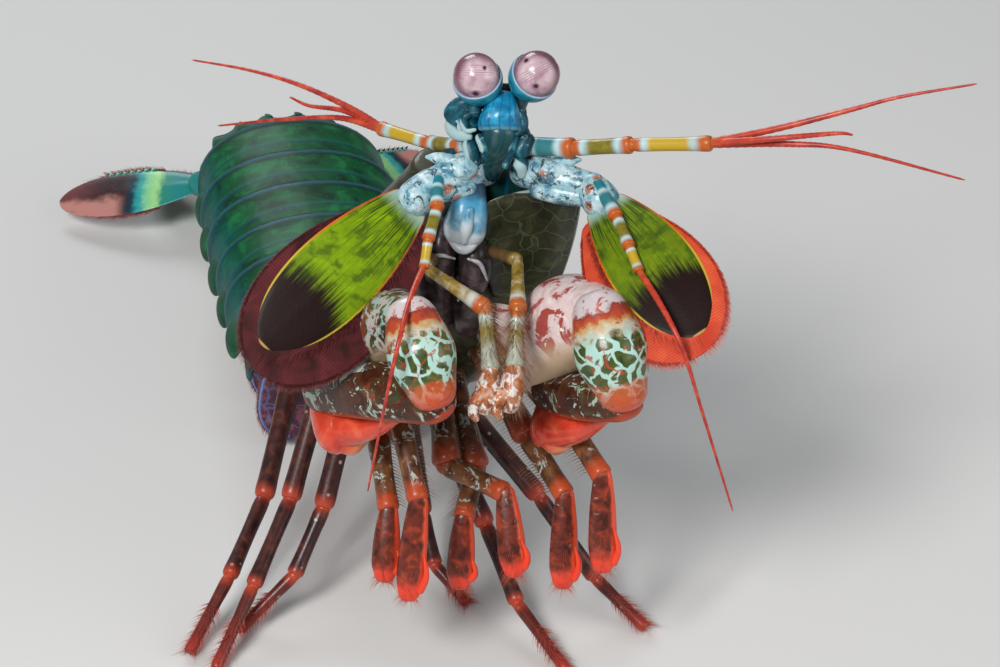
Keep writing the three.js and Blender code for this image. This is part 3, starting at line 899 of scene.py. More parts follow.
# %% Bristle paints
def bristle_paint(name, root_colour, tip_colour):
    """One colour at the root, another at the tip, and lighter streaks."""
    paint = Paint(name, rough=0.5, coat=0.1, thin=0.1)
    paint.colour = paint.ramp(paint.along, [(0.0, root_colour), (1.0, tip_colour)]).outputs["Color"]
    paint.marble(tuple(min(1, v * 1.8 + 0.05) for v in tip_colour), 0.9, 0.5, 0.7, 0.5)
    return paint.done(0.3, 0.1)


maroon_bristle = bristle_paint("bristle_maroon", (0.05, 0.012, 0.01), (0.18, 0.03, 0.035))
red_bristle = bristle_paint("bristle_red", (0.25, 0.025, 0.015), (0.6, 0.08, 0.04))
pink_bristle = bristle_paint("bristle_pink", (0.12, 0.03, 0.04), (0.4, 0.15, 0.15))
pale_bristle = bristle_paint("bristle_pale", (0.12, 0.04, 0.015), (0.4, 0.2, 0.1))

# %% [markdown]
# ## The tail fan
# The telson is a thick plate with a keel down its middle and teeth round its hind edge. On each side
# a stout article carries two blades, the outer one longer, each edged with pink bristles.

# %% Telson
TELSON_BASE = Vector((-36.6, 96, 14.5))
TELSON_TIP = Vector((-42.5, 119, 5))
plate = leaf(TELSON_BASE, TELSON_TIP, (0, 0.4, 1), 25, 5, 0.36, 0.75, steps=24, segments=40, rib=0)
pieces = [plate, rod([(-36.9, 98, 17), (-38.8, 106, 14.5), (-41, 114.5, 9.5)], [1.2, 1.6, 0.7], 10, 8)]
for offset in (-6.5, -3.4, 3.4, 6.5):
    start = Vector((-37 + offset, 99, 15.4 - 0.06 * offset ** 2))
    end = Vector((-41.2 + offset * 0.8, 113, 9.6 - 0.07 * offset ** 2))
    pieces.append(rod([start, start.lerp(end, 0.5) + Vector((0, 0, 0.5)), end], [0.5, 0.75, 0.3], 8, 6))
TEETH = [(-0.92, 0.5), (-0.75, 0.78), (-0.34, 0.97), (0.34, 0.97), (0.75, 0.78), (0.92, 0.5)]
for across, along in TEETH:
    root = Vector((-36.6 + across * 10, 96 + along * 20 + across * 2, 14.5 - along * 8))
    tip = root + Vector((-1 + across * 1.6, 5, -2.2))
    pieces.append(stick(root, tip, [1.4, 0.9, 0.15], 8, 5))
paint = Paint("telson_shell", rough=0.32, coat=0.7)
paint.ground([(0.01, 0.07, 0.04), DARK_GREEN, (0.05, 0.28, 0.1)], 2.5)
paint.bands([(0.0, (*DEEP_TEAL, 0)), (0.7, (*DEEP_TEAL, 0.2)), (0.9, (0.35, 0.04, 0.04, 0.9))], rag=0.1)
paint.specks((0.3, 0.5, 0.3), 1.2, 0.16, 0.5)
finish_piece(pieces, "telson_plate", paint.done(0.6, 0.25), ["telson"])

# %% Blade paint
paint = Paint("tail_blade", rough=0.4, coat=0.4)
paint.ground([(0.012, 0.003, 0.004), (0.03, 0.006, 0.007), (0.006, 0.006, 0.01)], 2.5)
paint.bands([(0.0, (0.01, 0.17, 0.13, 1)), (0.14, (0.01, 0.2, 0.2, 1)), (0.25, (0.02, 0.22, 0.16, 1)),
             (0.31, (0.3, 0.6, 0.22, 1)), (0.36, (0.22, 0.55, 0.26, 1)), (0.42, (0.02, 0.3, 0.3, 1)),
             (0.48, (0.004, 0.03, 0.05, 0.9)), (0.58, (*MAROON, 0)),
             (0.92, (0.2, 0.05, 0.05, 0.6))], rag=0.08)
pink_edge = paint.plus(paint.across, paint.times(paint.noise(2), 0.8))
pink_side = paint.between(pink_edge, 0.5, -0.1)
paint.over(paint.times(pink_side, paint.between(paint.along, 0.5, 0.6)), (0.45, 0.2, 0.17))
tail_blade = paint.done(0.5, 0.25)

# %% Uropods
UROPODS = {
    "R": {"root": (-42, 96, 12.5), "joint": (-51, 101.5, 9.5),
          "outer": (-76, 105.5, 3.5), "inner": (-60, 117, 3)},
    "L": {"root": (-30, 98, 12.5), "joint": (-24.5, 105, 9.5),
          "outer": (-9, 119, 3.5), "inner": (-25, 121, 3)},
}
OUTER_FACE = (0, -0.4, 1)
INNER_FACE = (0, 0.3, 1)
BLADE_SHARE = 0.86
FRINGE_BACK = 0.12
SPINES = 7
SPINES_FROM = 0.34
SPINE_GAP = 0.05
draw = random.Random(3)
for side, limb in UROPODS.items():
    hand = 1 if side == "R" else -1
    joint, outer, inner = Vector(limb["joint"]), Vector(limb["outer"]), Vector(limb["inner"])
    pieces = [stick(Vector(limb["root"]), joint, [2.8, 2.7, 2.4], 12, 8, flow_to=0.2)]
    roots = []
    for tip, face, width in ((outer, OUTER_FACE, 11), (inner, INNER_FACE, 8)):
        pieces.append(leaf(joint, tip, face, width * BLADE_SHARE, 1.1, 0.55))
        edge = leaf_edge(joint, tip - (tip - joint) * FRINGE_BACK, face, width * BLADE_SHARE, 0.55)
        roots += fringe_roots(edge, draw, 240, 3.2, 0.3, 0.1, droop=(0, 0, -0.3))
    start, along, across, back = leaf_frame(joint, outer, OUTER_FACE)
    for i in range(SPINES):
        root = start + along * (SPINES_FROM + SPINE_GAP * i) + across * (hand * 4.2)
        tip = root + across * (hand * 1.2) + along.normalized() * 2
        pieces.append(stick(root, tip, [0.45, 0.35, 0.1], 6, 3))
    finish_piece(pieces, "uropod_blades_" + side, tail_blade, ["uropod_" + side])
    bristles("uropod_fringe_" + side, roots, pink_bristle, ["uropod_" + side])

# %% [markdown]
# ## The eyes
# Each eye is a glossy ball on a stalk. A striped band of larger facets crosses it, and dark spots
# show where the facets look straight at the viewer. The ball is a sphere whose points are drawn in
# a little along the band, set in a turquoise cup.

# %% Eye values
EYE_RADIUS = 3.05
STALK_FOOT = {"R": Vector((-0.3, 7, 75.3)), "L": Vector((1.9, 7, 75.3))}
BAND = {"R": (Vector((0, 0.53, 0.85)), 0.55), "L": (Vector((-0.48, 0.476, 0.73)), 0.1)}
# ways from each eye towards the camera; the cornea is painted darker away from them, a painted shade on its
# rim
FACING_CAMERA = {"R": Vector((0.25, -0.88, 0.35)), "L": Vector((-0.1, -0.92, 0.3))}
SPOTS = {
    "R": [(Vector((1.15, -1.83, 2.16)), 0.24), (Vector((-0.07, -2.83, -1.14)), 0.4)],
    "L": [(Vector((-1.42, -1.01, 2.5)), 0.3), (Vector((-0.2, -3.04, -0.2)), 0.33)],
}
PINCH = 0.02
PINCH_WIDE = 0.4
print("eye", 2 * EYE_RADIUS, "mm across")


# %% Eye paint
def cornea_paint(side):
    """Pink ground, striped midband, painted shade where the ball turns away from the camera, and dark
    spots.
    """
    paint = Paint("cornea_" + side, rough=0.22, coat=0.8, thin=0.1)
    paint.ground([(0.36, 0.22, 0.27), (0.5, 0.35, 0.39), (0.6, 0.46, 0.48)], 1.8, 2)
    offset = paint.add("ShaderNodeVectorMath", operation="SUBTRACT")
    paint.put(offset, {0: paint.place, 1: (EYE[side] + SHIFT) * MM})

    def lies(direction):
        """How far a point of the eye lies along a direction, in millimetres from its middle."""
        dot = paint.add("ShaderNodeVectorMath", operation="DOT_PRODUCT")
        paint.put(dot, {0: offset.outputs[0], 1: direction.normalized() / MM})
        return dot.outputs["Value"]

    height = paint.math("SUBTRACT", lies(BAND[side][0]), BAND[side][1])
    stripes = paint.size(paint.math("SINE", paint.times(height, 10)))
    ragged = paint.between(paint.noise(1.4, 3, 1.0), 0.38, 0.55)
    band = paint.between(paint.size(height), 0.85, 0.6)
    lines = paint.times(paint.between(stripes, 0.45, 0.15), band)
    paint.over(paint.times(lines, paint.times(ragged, 0.8)), (0.16, 0.07, 0.15))
    # painted shade: all but the side of the ball that faces the camera is darkened
    paint.over(paint.times(paint.between(lies(FACING_CAMERA[side]), 2.3, 1.0), 0.9), (0.13, 0.035, 0.06))
    # painted shade along the top edge, where the ball turns away from the camera
    paint.over(paint.between(lies(Vector((-FACING_CAMERA[side].x, 0.53, 0.85))), 2.3, 3.0), (0.2, 0.07, 0.11))
    for spot, size in SPOTS[side]:
        far = paint.add("ShaderNodeVectorMath", operation="DISTANCE")
        paint.put(far, {0: offset.outputs[0], 1: spot * MM})
        reach = paint.times(far.outputs["Value"], 1 / MM)
        reach = paint.plus(reach, paint.times(paint.noise(0.5), 0.25))
        paint.over(paint.between(reach, size * 2.4, size * 1.5), (0.3, 0.15, 0.22))
        paint.over(paint.between(reach, size * 1.5, size * 1.1), (0.02, 0.008, 0.01))
    return paint.done(0.25, 0.1, pits_mm=0.14)


# %% Eyeballs
for side in "RL":
    bm = bmesh.new()
    bmesh.ops.create_uvsphere(bm, u_segments=48, v_segments=32, radius=EYE_RADIUS)
    waist = BAND[side][0].normalized()
    for v in bm.verts:
        above = v.co.dot(waist) - BAND[side][1]
        v.co *= 1 - PINCH * math.exp(-(above / PINCH_WIDE) ** 2)
        v.co += EYE[side]
    finish_piece([bm], "cornea_ball_" + side, cornea_paint(side), ["cornea_" + side])

# %% Eye stalks
paint = Paint("stalk_shell", rough=0.35, coat=0.5)
paint.ground([(0.004, 0.09, 0.13), (0.008, 0.19, 0.27), (0.03, 0.28, 0.38)], 1.6)
paint.bands([(0.0, (0.01, 0.03, 0.035, 1)), (0.3, (0.01, 0.06, 0.07, 0.7)),
             (0.5, (0.02, 0.25, 0.35, 0)), (0.86, (0.03, 0.3, 0.42, 0.5)),
             (0.91, (0.35, 0.42, 0.55, 1)), (1.0, (0.25, 0.25, 0.36, 1))])
paint.over(paint.times(paint.between(paint.up, 0.1, 0.6), 0.9), (0.006, 0.035, 0.04))
stalk_shell = paint.done(0.35, 0.2)
CUP_AXIS = {"R": Vector((-0.2, -0.43, 0.88)), "L": Vector((0.42, -0.5, 0.75))}
CUP = [(-4.5, 0.9), (-4.3, 1.6), (-3.8, 2.15), (-3.1, 2.75), (-2.3, 3.1), (-1.6, 3.27), (-1.0, 3.34),
       (-0.7, 3.34), (-0.52, 3.25), (-0.5, 3.1), (-0.7, 2.8), (-1.2, 2.0)]
CUP_DEPTH = 3.9
CUP_FLOWS = [0.3, 0.35, 0.42, 0.5, 0.6, 0.68, 0.76, 0.84, 0.93, 0.97, 0.98, 1.0]
for side in "RL":
    axis = CUP_AXIS[side].normalized()
    across = axis.cross(Vector((0, 1, 0))).normalized()
    behind = across.cross(axis).normalized()
    behind *= 1 if behind.y > 0 else -1
    rings = [section(EYE[side] + axis * height, across, behind, radius, radius) for height, radius in CUP]
    stalk = stick(STALK_FOOT[side], EYE[side] - axis * CUP_DEPTH, [1.3, 1.35, 1.7], 20, 8, flow_to=0.35)
    finish_piece([sweep(rings, 40, CUP_FLOWS), stalk], "eyestalk_cup_" + side, stalk_shell,
                 ["eyestalk_" + side])

# %% Shield over the stalks
rostrum_plate = leaf((0.2, 12, 68.5), (1.2, 11, 77.2), (0.42, 0.9, 0), 6.5, 1, 0.45, 0.8, rib=0.3)
finish_piece([rostrum_plate], "rostrum_plate", face_shell, ["rostrum"])

# %% [markdown]
# ## Jointed limbs
# An article of a crustacean's limb is narrow where it leaves the last one and flares to a collar at
# its far end, with soft orange skin in the joint. The helper builds that profile for each article of
# a limb, with flow running over the whole of it, so a paint's bands fall on the same joints.

# %% Articles
PROFILE = [(0.0, 0.5), (0.02, 0.8), (0.1, 0.88), (0.3, 0.84), (0.5, 0.86), (0.7, 0.92), (0.86, 1.0),
           (0.93, 1.1), (0.98, 1.08), (1.0, 0.85), (1.0, 0.5)]
KNUCKLE_SHARE = 0.8
KNUCKLE_REACH = 0.3


def articles(points, radii, segments):
    """A limb of straight articles between plan points."""
    points = [Vector(p) for p in points]
    made = []
    count = len(points) - 1
    for i in range(count):
        start, end = points[i], points[i + 1]
        tangent = (end - start).normalized()
        side, back = sides(tangent, Vector((0, 0, 1)))
        sections, flows = [], []
        for share, swell in PROFILE:
            radius = (radii[i] + (radii[i + 1] - radii[i]) * share) * swell
            sections.append(section(start.lerp(end, share), side, back, radius, radius))
            flows.append((i + share) / count)
        made.append(sweep(sections, segments, flows))
        if i:
            knuckle = radii[i] * KNUCKLE_SHARE
            along = tangent * KNUCKLE_REACH
            made.append(rod([start - along, start, start + along], [knuckle] * 3, 10, 4,
                            flow_from=i / count - 0.01, flow_to=i / count + 0.01))
    return made


print("an article has", len(PROFILE), "sections")

# %% Whips
WHIP_TIP = 0.13
WHIP_STEPS = 60
WHIP_RINGS = 0.12


def whip(points, thick=0.52):
    """A whip of many short rings, tapering to its tip."""
    points = [Vector(p) for p in points]
    sections = []
    for i in range(WHIP_STEPS + 1):
        t = i / WHIP_STEPS
        side, back = sides(heading(points, t), Vector((0, 0, 1)))
        radius = (thick + (WHIP_TIP - thick) * t) * (1 + (WHIP_RINGS if i % 2 else 0))
        radius *= 1 if 0 < i < WHIP_STEPS else 0.4
        sections.append(section(smooth(points, t), side, back, radius, radius))
    return sweep(sections, 8)


paint = Paint("whip_red", rough=0.4, coat=0.3, thin=0.1)
paint.ground([(0.28, 0.02, 0.014), (0.42, 0.035, 0.02), (0.55, 0.08, 0.03)], 1.5)
paint.bands([(0.0, (0.5, 0.13, 0.02, 0.9)), (0.08, (0.5, 0.06, 0.02, 0.3)), (0.5, (0.4, 0.03, 0.02, 0))])
whip_red = paint.done(0.3, 0.15)

# %% [markdown]
# ## First feelers
# Each has three articles, banded teal, olive and yellow with orange joints, and three red whips.

# %% Colours and places of the first feelers
YELLOW = (0.48, 0.31, 0.02)
ORANGE = (0.45, 0.1, 0.015)
ICE = (0.42, 0.6, 0.62)
TEAL = (0.01, 0.17, 0.21)
ANTENNULES = {
    "R": {
        "stem": [(-1.2, 6.5, 70.6), (-5.3, 9.8, 68.5), (-9.5, 16.4, 65.2), (-16.6, 23.5, 63.6)],
        "whips": [
            [(-16, 23, 63.7), (-20.9, 27, 64.9), (-28.1, 32, 65.8), (-35.5, 37, 65.5), (-44.3, 43, 64)],
            [(-16, 23, 63.5), (-22.3, 27, 63.3), (-31.2, 33, 59.7), (-40.7, 39, 55.4)],
            [(-16, 23, 63.6), (-21.5, 27.5, 64.1), (-26.7, 30, 63.6), (-29.6, 32, 63.9)],
        ],
    },
    "L": {
        "stem": [(2, 6.3, 70.6), (9.7, 2.3, 72.4), (17.1, -1.1, 74.8), (27.1, -5, 77.2)],
        "whips": [
            [(26.6, -4.8, 77.2), (35.5, -7, 80.6), (44, -8, 83.7), (50, -9, 86.1), (59.3, -10, 88.5)],
            [(26.6, -4.8, 77), (36.7, -8, 78.8), (44.1, -10, 79.1), (58.3, -14, 77)],
            [(26.6, -4.8, 77.1), (34.5, -8.4, 79.8), (42.3, -9, 80.9), (44.2, -11, 81.8)],
        ],
    },
}

# %% Stems and whips of the first feelers
paint = Paint("feeler_stem", rough=0.38, coat=0.4)
paint.ground([(0.16, 0.12, 0.01), (0.2, 0.17, 0.015), (0.32, 0.25, 0.02)], 1.5)
paint.bands([(0.0, (*TEAL, 1)), (0.08, (*TEAL, 1)), (0.11, (*ICE, 0.9)), (0.15, (*TEAL, 0.9)),
             (0.22, (*TEAL, 0.9)), (0.26, (*ICE, 1)), (0.31, (*ORANGE, 1)), (0.36, (*ORANGE, 1)),
             (0.39, (*ICE, 1)), (0.45, (*ICE, 0)), (0.56, (*ICE, 0)), (0.6, (*ICE, 1)),
             (0.645, (*ORANGE, 1)), (0.69, (*ORANGE, 1)), (0.72, (*ICE, 1)), (0.76, (*YELLOW, 1)),
             (0.9, (*YELLOW, 1)), (0.93, (*ICE, 0.8)), (0.97, (*ORANGE, 1))], rag=0.02)
feeler_stem = paint.done(0.5, 0.3)
for side, feeler in ANTENNULES.items():
    stem = articles(feeler["stem"], [1.6, 1.3, 1.1, 1.0], 16)
    finish_piece(stem, "antennule_stem_" + side, feeler_stem, ["antennule_" + side])
    finish_piece([whip(points) for points in feeler["whips"]], "antennule_whips_" + side, whip_red,
                 ["antennule_" + side], 0)

# %% [markdown]
# ## Second feelers
# Their outer branch is the broad green scale with a dark blotch and a yellow rim, edged with a
# dense fringe. The inner branch is a jointed whip. Blotch and rim follow the blade, so they are
# painted from its flow: a dark end with a ragged border, and a line along both edges.

# %% Places of the second feelers
ANTENNAE = {
    "R": {
        "base": [(-1.5, 7.5, 67), (-5, 4, 67.8), (-9, 1, 67.8)],
        "hinge": (-9, 1, 67.8), "tip": (-30.6, -17, 54.1), "face": (0.16, -0.71, 0.64),
        "stem": [(-8.2, 0.5, 69), (-8.2, -4, 67), (-9.3, -8, 64.6), (-9.8, -10.6, 61.9)],
        "lash": [(-9.8, -10.4, 62.2), (-11.4, -18.2, 62), (-12.6, -26, 60.8), (-14.4, -28, 52.9),
                 (-17, -27.6, 38.7)],
        "fringe": maroon_bristle,
    },
    "L": {
        "base": [(2, 8, 67), (5.9, 4, 67.4), (12, 1, 67.2)],
        "hinge": (12, 1, 67.2), "tip": (25.4, -21.5, 58.8), "face": (-0.3, -0.4, 0.87),
        "stem": [(12.6, -0.2, 68.7), (15.1, -6.1, 66.9), (16.6, -10.9, 65.3), (17.8, -14, 63.5)],
        "lash": [(17.7, -13.8, 63.7), (20.6, -20.4, 61.9), (23, -24.6, 58.5), (25.6, -26, 50.2),
                 (30.2, -26, 34.4)],
        "fringe": red_bristle,
    },
}
SCALE_WIDTH = 11.4
SCALE_BOW = 1.2

# %% Paint of the bases
paint = Paint("antenna_base", rough=0.36, coat=0.45)
paint.ground([(0.06, 0.2, 0.28), (0.3, 0.5, 0.55), (0.58, 0.7, 0.72)], 1.9)
paint.specks((0.45, 0.12, 0.03), 4.2, 0.22, 0.85)
paint.marble((0.02, 0.025, 0.035), 1.7, 0.55, 0.6, 0.9)
paint.marble((0.2, 0.09, 0.04), 1.5, 0.6, 0.66, 0.7)
paint.marble((0.6, 0.65, 0.68), 1.2, 0.58, 0.64, 0.9)
paint.bands([(0.0, (0.01, 0.1, 0.16, 1)), (0.2, (0.02, 0.1, 0.14, 0))], rag=0.08)
antenna_base = paint.done(0.5, 0.3)


# %% Scale paint
def scale_green(name, base, middle):
    """The scale's paint: streaked base, bright middle, dark tip and a yellow rim."""
    paint = Paint(name, rough=0.5, coat=0.05, thin=0.02, shine=0.1)
    paint.ground([base, tuple(0.8 * v for v in middle), middle], 2.5)
    paint.over(paint.between(paint.noise(2.2, 4), 0.52, 0.66), (0.07, 0.13, 0.004))
    streak = paint.add("ShaderNodeCombineXYZ")
    paint.put(streak, {0: paint.times(paint.along, 2.5), 1: paint.times(paint.across, 14)})
    veins = paint.add("ShaderNodeTexNoise")
    paint.put(veins, {"Vector": streak.outputs[0], "Scale": 1.6})
    vein = paint.between(veins.outputs[0], 0.48, 0.62)
    paint.over(paint.times(vein, paint.between(paint.along, 0.5, 0.15)), (0.02, 0.035, 0.008))
    paint.over(paint.times(vein, 0.25), (0.03, 0.07, 0.003))
    paint.over(paint.between(paint.along, 0.13, 0.03), (0.3, 0.42, 0.36))
    fade = paint.plus(paint.along, paint.times(paint.math("SUBTRACT", veins.outputs[0], 0.5), 0.22))
    edge = paint.size(paint.across)
    fade = paint.plus(fade, paint.times(paint.math("POWER", edge, 2), -0.07))
    paint.over(paint.between(fade, 0.53, 0.67), (0.012, 0.004, 0.003))
    rim = paint.ramp(paint.along, [(0.08, (0.45, 0.05, 0.01)), (0.4, (0.55, 0.13, 0.01)),
                                   (0.62, (0.5, 0.36, 0.03)), (0.94, (0.45, 0.33, 0.05)),
                                   (1.0, (0.42, 0.25, 0.08))])
    outline = paint.math("MAXIMUM", paint.between(edge, 0.93, 0.965),
                         paint.between(paint.along, 0.985, 0.993))
    paint.over(outline, rim.outputs["Color"])
    return paint.done(0.4, 0.3)


# %% Fringe sheet paint
def sheet_paint(name, deep, bright):
    """The fringe under the single bristles, lined as they run."""
    paint = Paint(name, rough=0.6, coat=0.0, thin=0.03, shine=0.12)
    paint.ground([deep, tuple((a + b) / 2 for a, b in zip(deep, bright)), bright], 3.5)
    ring = paint.size(paint.math("SINE", paint.times(paint.along, 230)))
    paint.over(paint.times(paint.between(ring, 0.5, 0.15), 0.5), tuple(v * 0.35 for v in deep))
    return paint.done(0.3, 0.3)

# %% Paints of both sides
SCALE_PAINT = {"R": scale_green("scale_green_R", (0.08, 0.13, 0.004), (0.2, 0.33, 0.003)),
               "L": scale_green("scale_green_L", (0.05, 0.09, 0.004), (0.15, 0.23, 0.005))}
SHEET_PAINT = {"R": sheet_paint("fringe_maroon", (0.03, 0.006, 0.006), (0.11, 0.016, 0.02)),
               "L": sheet_paint("fringe_red", (0.5, 0.04, 0.018), (0.65, 0.09, 0.035))}
# inward side, then how far the fringe stands out on the outer and the inner side
FRINGE = {"R": (-1, 1.3, 5.0), "L": (1, 1.1, 4.2)}


# %% Bases of the second feelers
def feeler_base(side, hand, knob):
    """A knobbed base of four swellings."""
    root, middle, end = knob

    def lump(first, second, third, radii, segments, steps):
        """A swelling past three points, each a base point and an offset that grows outwards."""
        path = [at + Vector((hand * x, y, z)) for at, x, y, z in (first, second, third)]
        return rod(path, radii, segments, steps)

    base = [
        rod(knob, [2.9, 2.6, 2.0], 20, 10),
        lump((root, 1.6, -1.6, 0.6), (middle, 0, -1.3, 1.2), (middle, 2.4, -1.8, 1.5),
             [1.3, 1.9, 1.1], 16, 8),
        lump((middle, -1, -1.6, -1.4), (middle, 1.8, -2.4, -1.3), (end, 0, -1.2, -1),
             [1.2, 1.6, 1.2], 16, 8),
        lump((middle, 1.2, 0, 1.4), (middle, 3.2, -1, 2.7), (middle, 4.6, -1.6, 3.2),
             [1.2, 0.9, 0.25], 10, 6),
    ]
    finish_piece(base, "antenna_knob_" + side, antenna_base, ["antenna_base_" + side])


# %% Scales and their fringes
def feeler_scale(side, feeler, node):
    """The knuckle and blade of a scale, a sheet of fringe behind it and bristles round both."""
    hinge, tip, face = Vector(feeler["hinge"]), Vector(feeler["tip"]), feeler["face"]
    wrist = hinge.lerp(tip, 0.1)
    finish_piece([stick(hinge, wrist, [2.2, 2.5, 2.6], 18, 6)], "scale_knuckle_" + side, antenna_base,
                 [node])
    blade = leaf(wrist, tip, face, SCALE_WIDTH, 0.95, 0.56, 0.42, SCALE_BOW, 34, 40, 0.6)
    finish_piece([blade], "scale_blade_" + side, SCALE_PAINT[side], [node])
    inward, narrow, broad = FRINGE[side]
    start, along, across, back = leaf_frame(wrist, tip, face)
    shift = across * (inward * (broad - narrow) / 2) - back * 0.35
    low_end = start + along * 0.05 + shift * 0.6
    far_end = tip + along.normalized() * broad * 0.55 + shift
    wide = SCALE_WIDTH + narrow + broad
    sheet = leaf(low_end, far_end, face, wide, 0.35, 0.6, 0.34, SCALE_BOW, 34, 40, 0)
    finish_piece([sheet], "scale_fringe_sheet_" + side, SHEET_PAINT[side], [node])
    edge = leaf_edge(low_end, far_end, face, wide * 0.97, 0.6, 0.34, SCALE_BOW)
    roots = fringe_roots(edge, draw, 760, 1.5, 0.08, 0.1)
    edge = leaf_edge(wrist, tip, face, SCALE_WIDTH, 0.56, 0.42, SCALE_BOW)
    roots += fringe_roots(edge, draw, 420, broad * 0.8, 0.12, 0.09, hands=(inward,))
    bristles("scale_fringe_" + side, roots, feeler["fringe"], [node])


# %% Both second feelers
draw = random.Random(7)
for side, feeler in ANTENNAE.items():
    feeler_base(side, -1 if side == "R" else 1, [Vector(at) for at in feeler["base"]])
    feeler_scale(side, feeler, "antenna_scale_" + side)
    node = "antenna_feeler_" + side
    finish_piece(articles(feeler["stem"], [1.05, 0.95, 0.85, 0.7], 12), "antenna_stem_" + side,
                 feeler_stem, [node])
    finish_piece([whip(feeler["lash"], 0.45)], "antenna_lash_" + side, whip_red, [node], 0)

# %% [markdown]
# ## The mouth
# A blue upper lip with a ridge down its middle hangs over two pairs of dark jaws with pale, curved
# edges. All are short rods; what tells them apart is the paint.

# %% Paints of the mouth
paint = Paint("jaw", rough=0.35, coat=0.4)
paint.ground([(0.015, 0.01, 0.01), (0.045, 0.028, 0.028), (0.11, 0.07, 0.08)], 1.8)
paint.bands([(0.0, (0.2, 0.2, 0.2, 0.7)), (0.12, (0.1, 0.05, 0.05, 0))])
jaw_shell = paint.done(0.5, 0.25)
paint = Paint("lip", rough=0.32, coat=0.5)
paint.ground([(0.06, 0.2, 0.3), (0.15, 0.35, 0.48), (0.4, 0.5, 0.55)], 1.6)
paint.bands([(0.0, (0.015, 0.03, 0.05, 1)), (0.22, (0.02, 0.05, 0.08, 1)),
             (0.4, (0.03, 0.25, 0.42, 0.8)), (0.55, (0.2, 0.4, 0.5, 0)), (0.7, (0.5, 0.55, 0.58, 0.9)),
             (1.0, (0.45, 0.48, 0.5, 1))], rag=0.12)
lip_shell = paint.done(0.4, 0.2)

# %% Lip and jaws
lip = [rod([(-3.8, 3.6, 65.4), (-4.2, 1.8, 63), (-4.7, 1.4, 60.6)], [2.0, 2.6, 2.9], 28, 12,
           up=(0, 1, 0), full=0.72),
       rod([(-4, -0.4, 64.6), (-4.4, -1.1, 62.4), (-4.8, -1.2, 60.4)], [0.6, 0.9, 0.6], 12, 8, up=(0, 1, 0),
           flow_from=0.45),
       rod([(-7, 1, 60.6), (-5.6, -0.9, 59.2), (-4.2, -1, 59), (-2.8, 0.2, 60)],
           [0.5, 0.7, 0.7, 0.5], 12, 10, flow_from=0.9)]
finish_piece(lip, "upper_lip", lip_shell, ["mouth"])
jaws = [
    rod([(-7.4, 3, 60), (-8.2, 1.3, 56.5), (-8, 2.2, 52)], [1.8, 2.5, 1.8], 16, 8, up=(0, 1, 0)),
    rod([(-4, 2.6, 58.5), (-3.2, 0.8, 55.5), (-3.8, 1.8, 51)], [1.8, 2.4, 1.8], 16, 8, up=(0, 1, 0)),
    rod([(-9.5, 3.2, 52.5), (-8.8, 1.9, 49.5), (-8, 3, 46)], [1.8, 2.7, 2.0], 14, 6, up=(0, 1, 0)),
    rod([(-4.6, 3, 52), (-3.8, 1.9, 48.5), (-4.4, 3, 45)], [2.2, 3.0, 2.2], 14, 6, up=(0, 1, 0)),
]
finish_piece(jaws, "jaws", jaw_shell, ["mouth"])
paint = Paint("jaw_edge", rough=0.35, coat=0.4)
paint.ground([(0.2, 0.19, 0.2), (0.36, 0.34, 0.36), (0.5, 0.47, 0.5)], 1.0)
jaw_edges = [
    rod([(-9.4, -0.2, 57.4), (-7.6, -1.4, 58.2), (-6, -1.2, 57.6)], [0.15, 0.3, 0.15], 8, 10),
    rod([(-4.2, -1.6, 57.8), (-2.6, -2.0, 57.2), (-1.7, -1.8, 54.6)], [0.2, 0.38, 0.15], 8, 10),
    rod([(-6.5, -0.9, 54.5), (-5.2, -1.5, 53), (-5.6, -1.2, 51)], [0.15, 0.3, 0.15], 8, 10),
]
finish_piece(jaw_edges, "jaw_edges", paint.done(0.4, 0.2), ["mouth"])

# %% [markdown]
# ## Striking claws
# The merus carries the wrist, and the hand folds back under it to end in the swollen red heel that
# the animal strikes with. The merus is deep and a little boxy, the wrist a blunt dome, and the hand
# tapers back to the heel. Each is one rod, so that its colours can run along it.

# %% Places of the claws
CLAWS = {
    "R": {"root": (-12.5, 7, 46), "knee": (-16, -3.5, 41.5), "wrist": (-11.3, -17.5, 57.5),
          "knuckle": (-8.6, -24, 52), "heel": (-23.2, -8.4, 41.2), "bulb": (-21.6, -9.6, 36.2),
          "point": (-12.3, -19.6, 45.2)},
    "L": {"root": (-1.5, 6, 46), "knee": (6.5, -3, 40.8), "wrist": (12.8, -17, 58),
          "knuckle": (15.6, -23, 51.3), "heel": (7, -6.6, 39.6), "bulb": (7, -8, 35),
          "point": (14.4, -19.4, 44.6)},
}


# %% Merus paints
def merus_shell(name, ground, veins, belly):
    """Blots of several colours over a ground, and a lighter belly."""
    paint = Paint(name, rough=0.34, coat=0.55)
    paint.ground(ground, 3.0, 3, 1.2)
    for colour, size, low in veins:
        paint.marble(colour, size, low, low + 0.05, 0.95)
    paint.over(paint.between(paint.up, -0.1, -0.8), belly)
    return paint.done(0.6, 0.25)


MERUS_PAINT = {
    "R": merus_shell("claw_merus_R", [(0.02, 0.02, 0.008), (0.05, 0.06, 0.02), (0.12, 0.12, 0.05)], [
        ((0.45, 0.42, 0.4), 3.2, 0.5), ((0.2, 0.04, 0.02), 3.7, 0.54), ((0.3, 0.45, 0.42), 2.4, 0.57),
    ], (0.3, 0.2, 0.12)),
    "L": merus_shell("claw_merus_L", [(0.6, 0.42, 0.4), (0.72, 0.56, 0.54), (0.8, 0.7, 0.68)], [
        ((0.36, 0.04, 0.03), 5.0, 0.52), ((0.5, 0.12, 0.04), 3.0, 0.58), ((0.85, 0.78, 0.76), 3.0, 0.58),
    ], (0.6, 0.44, 0.28)),
}

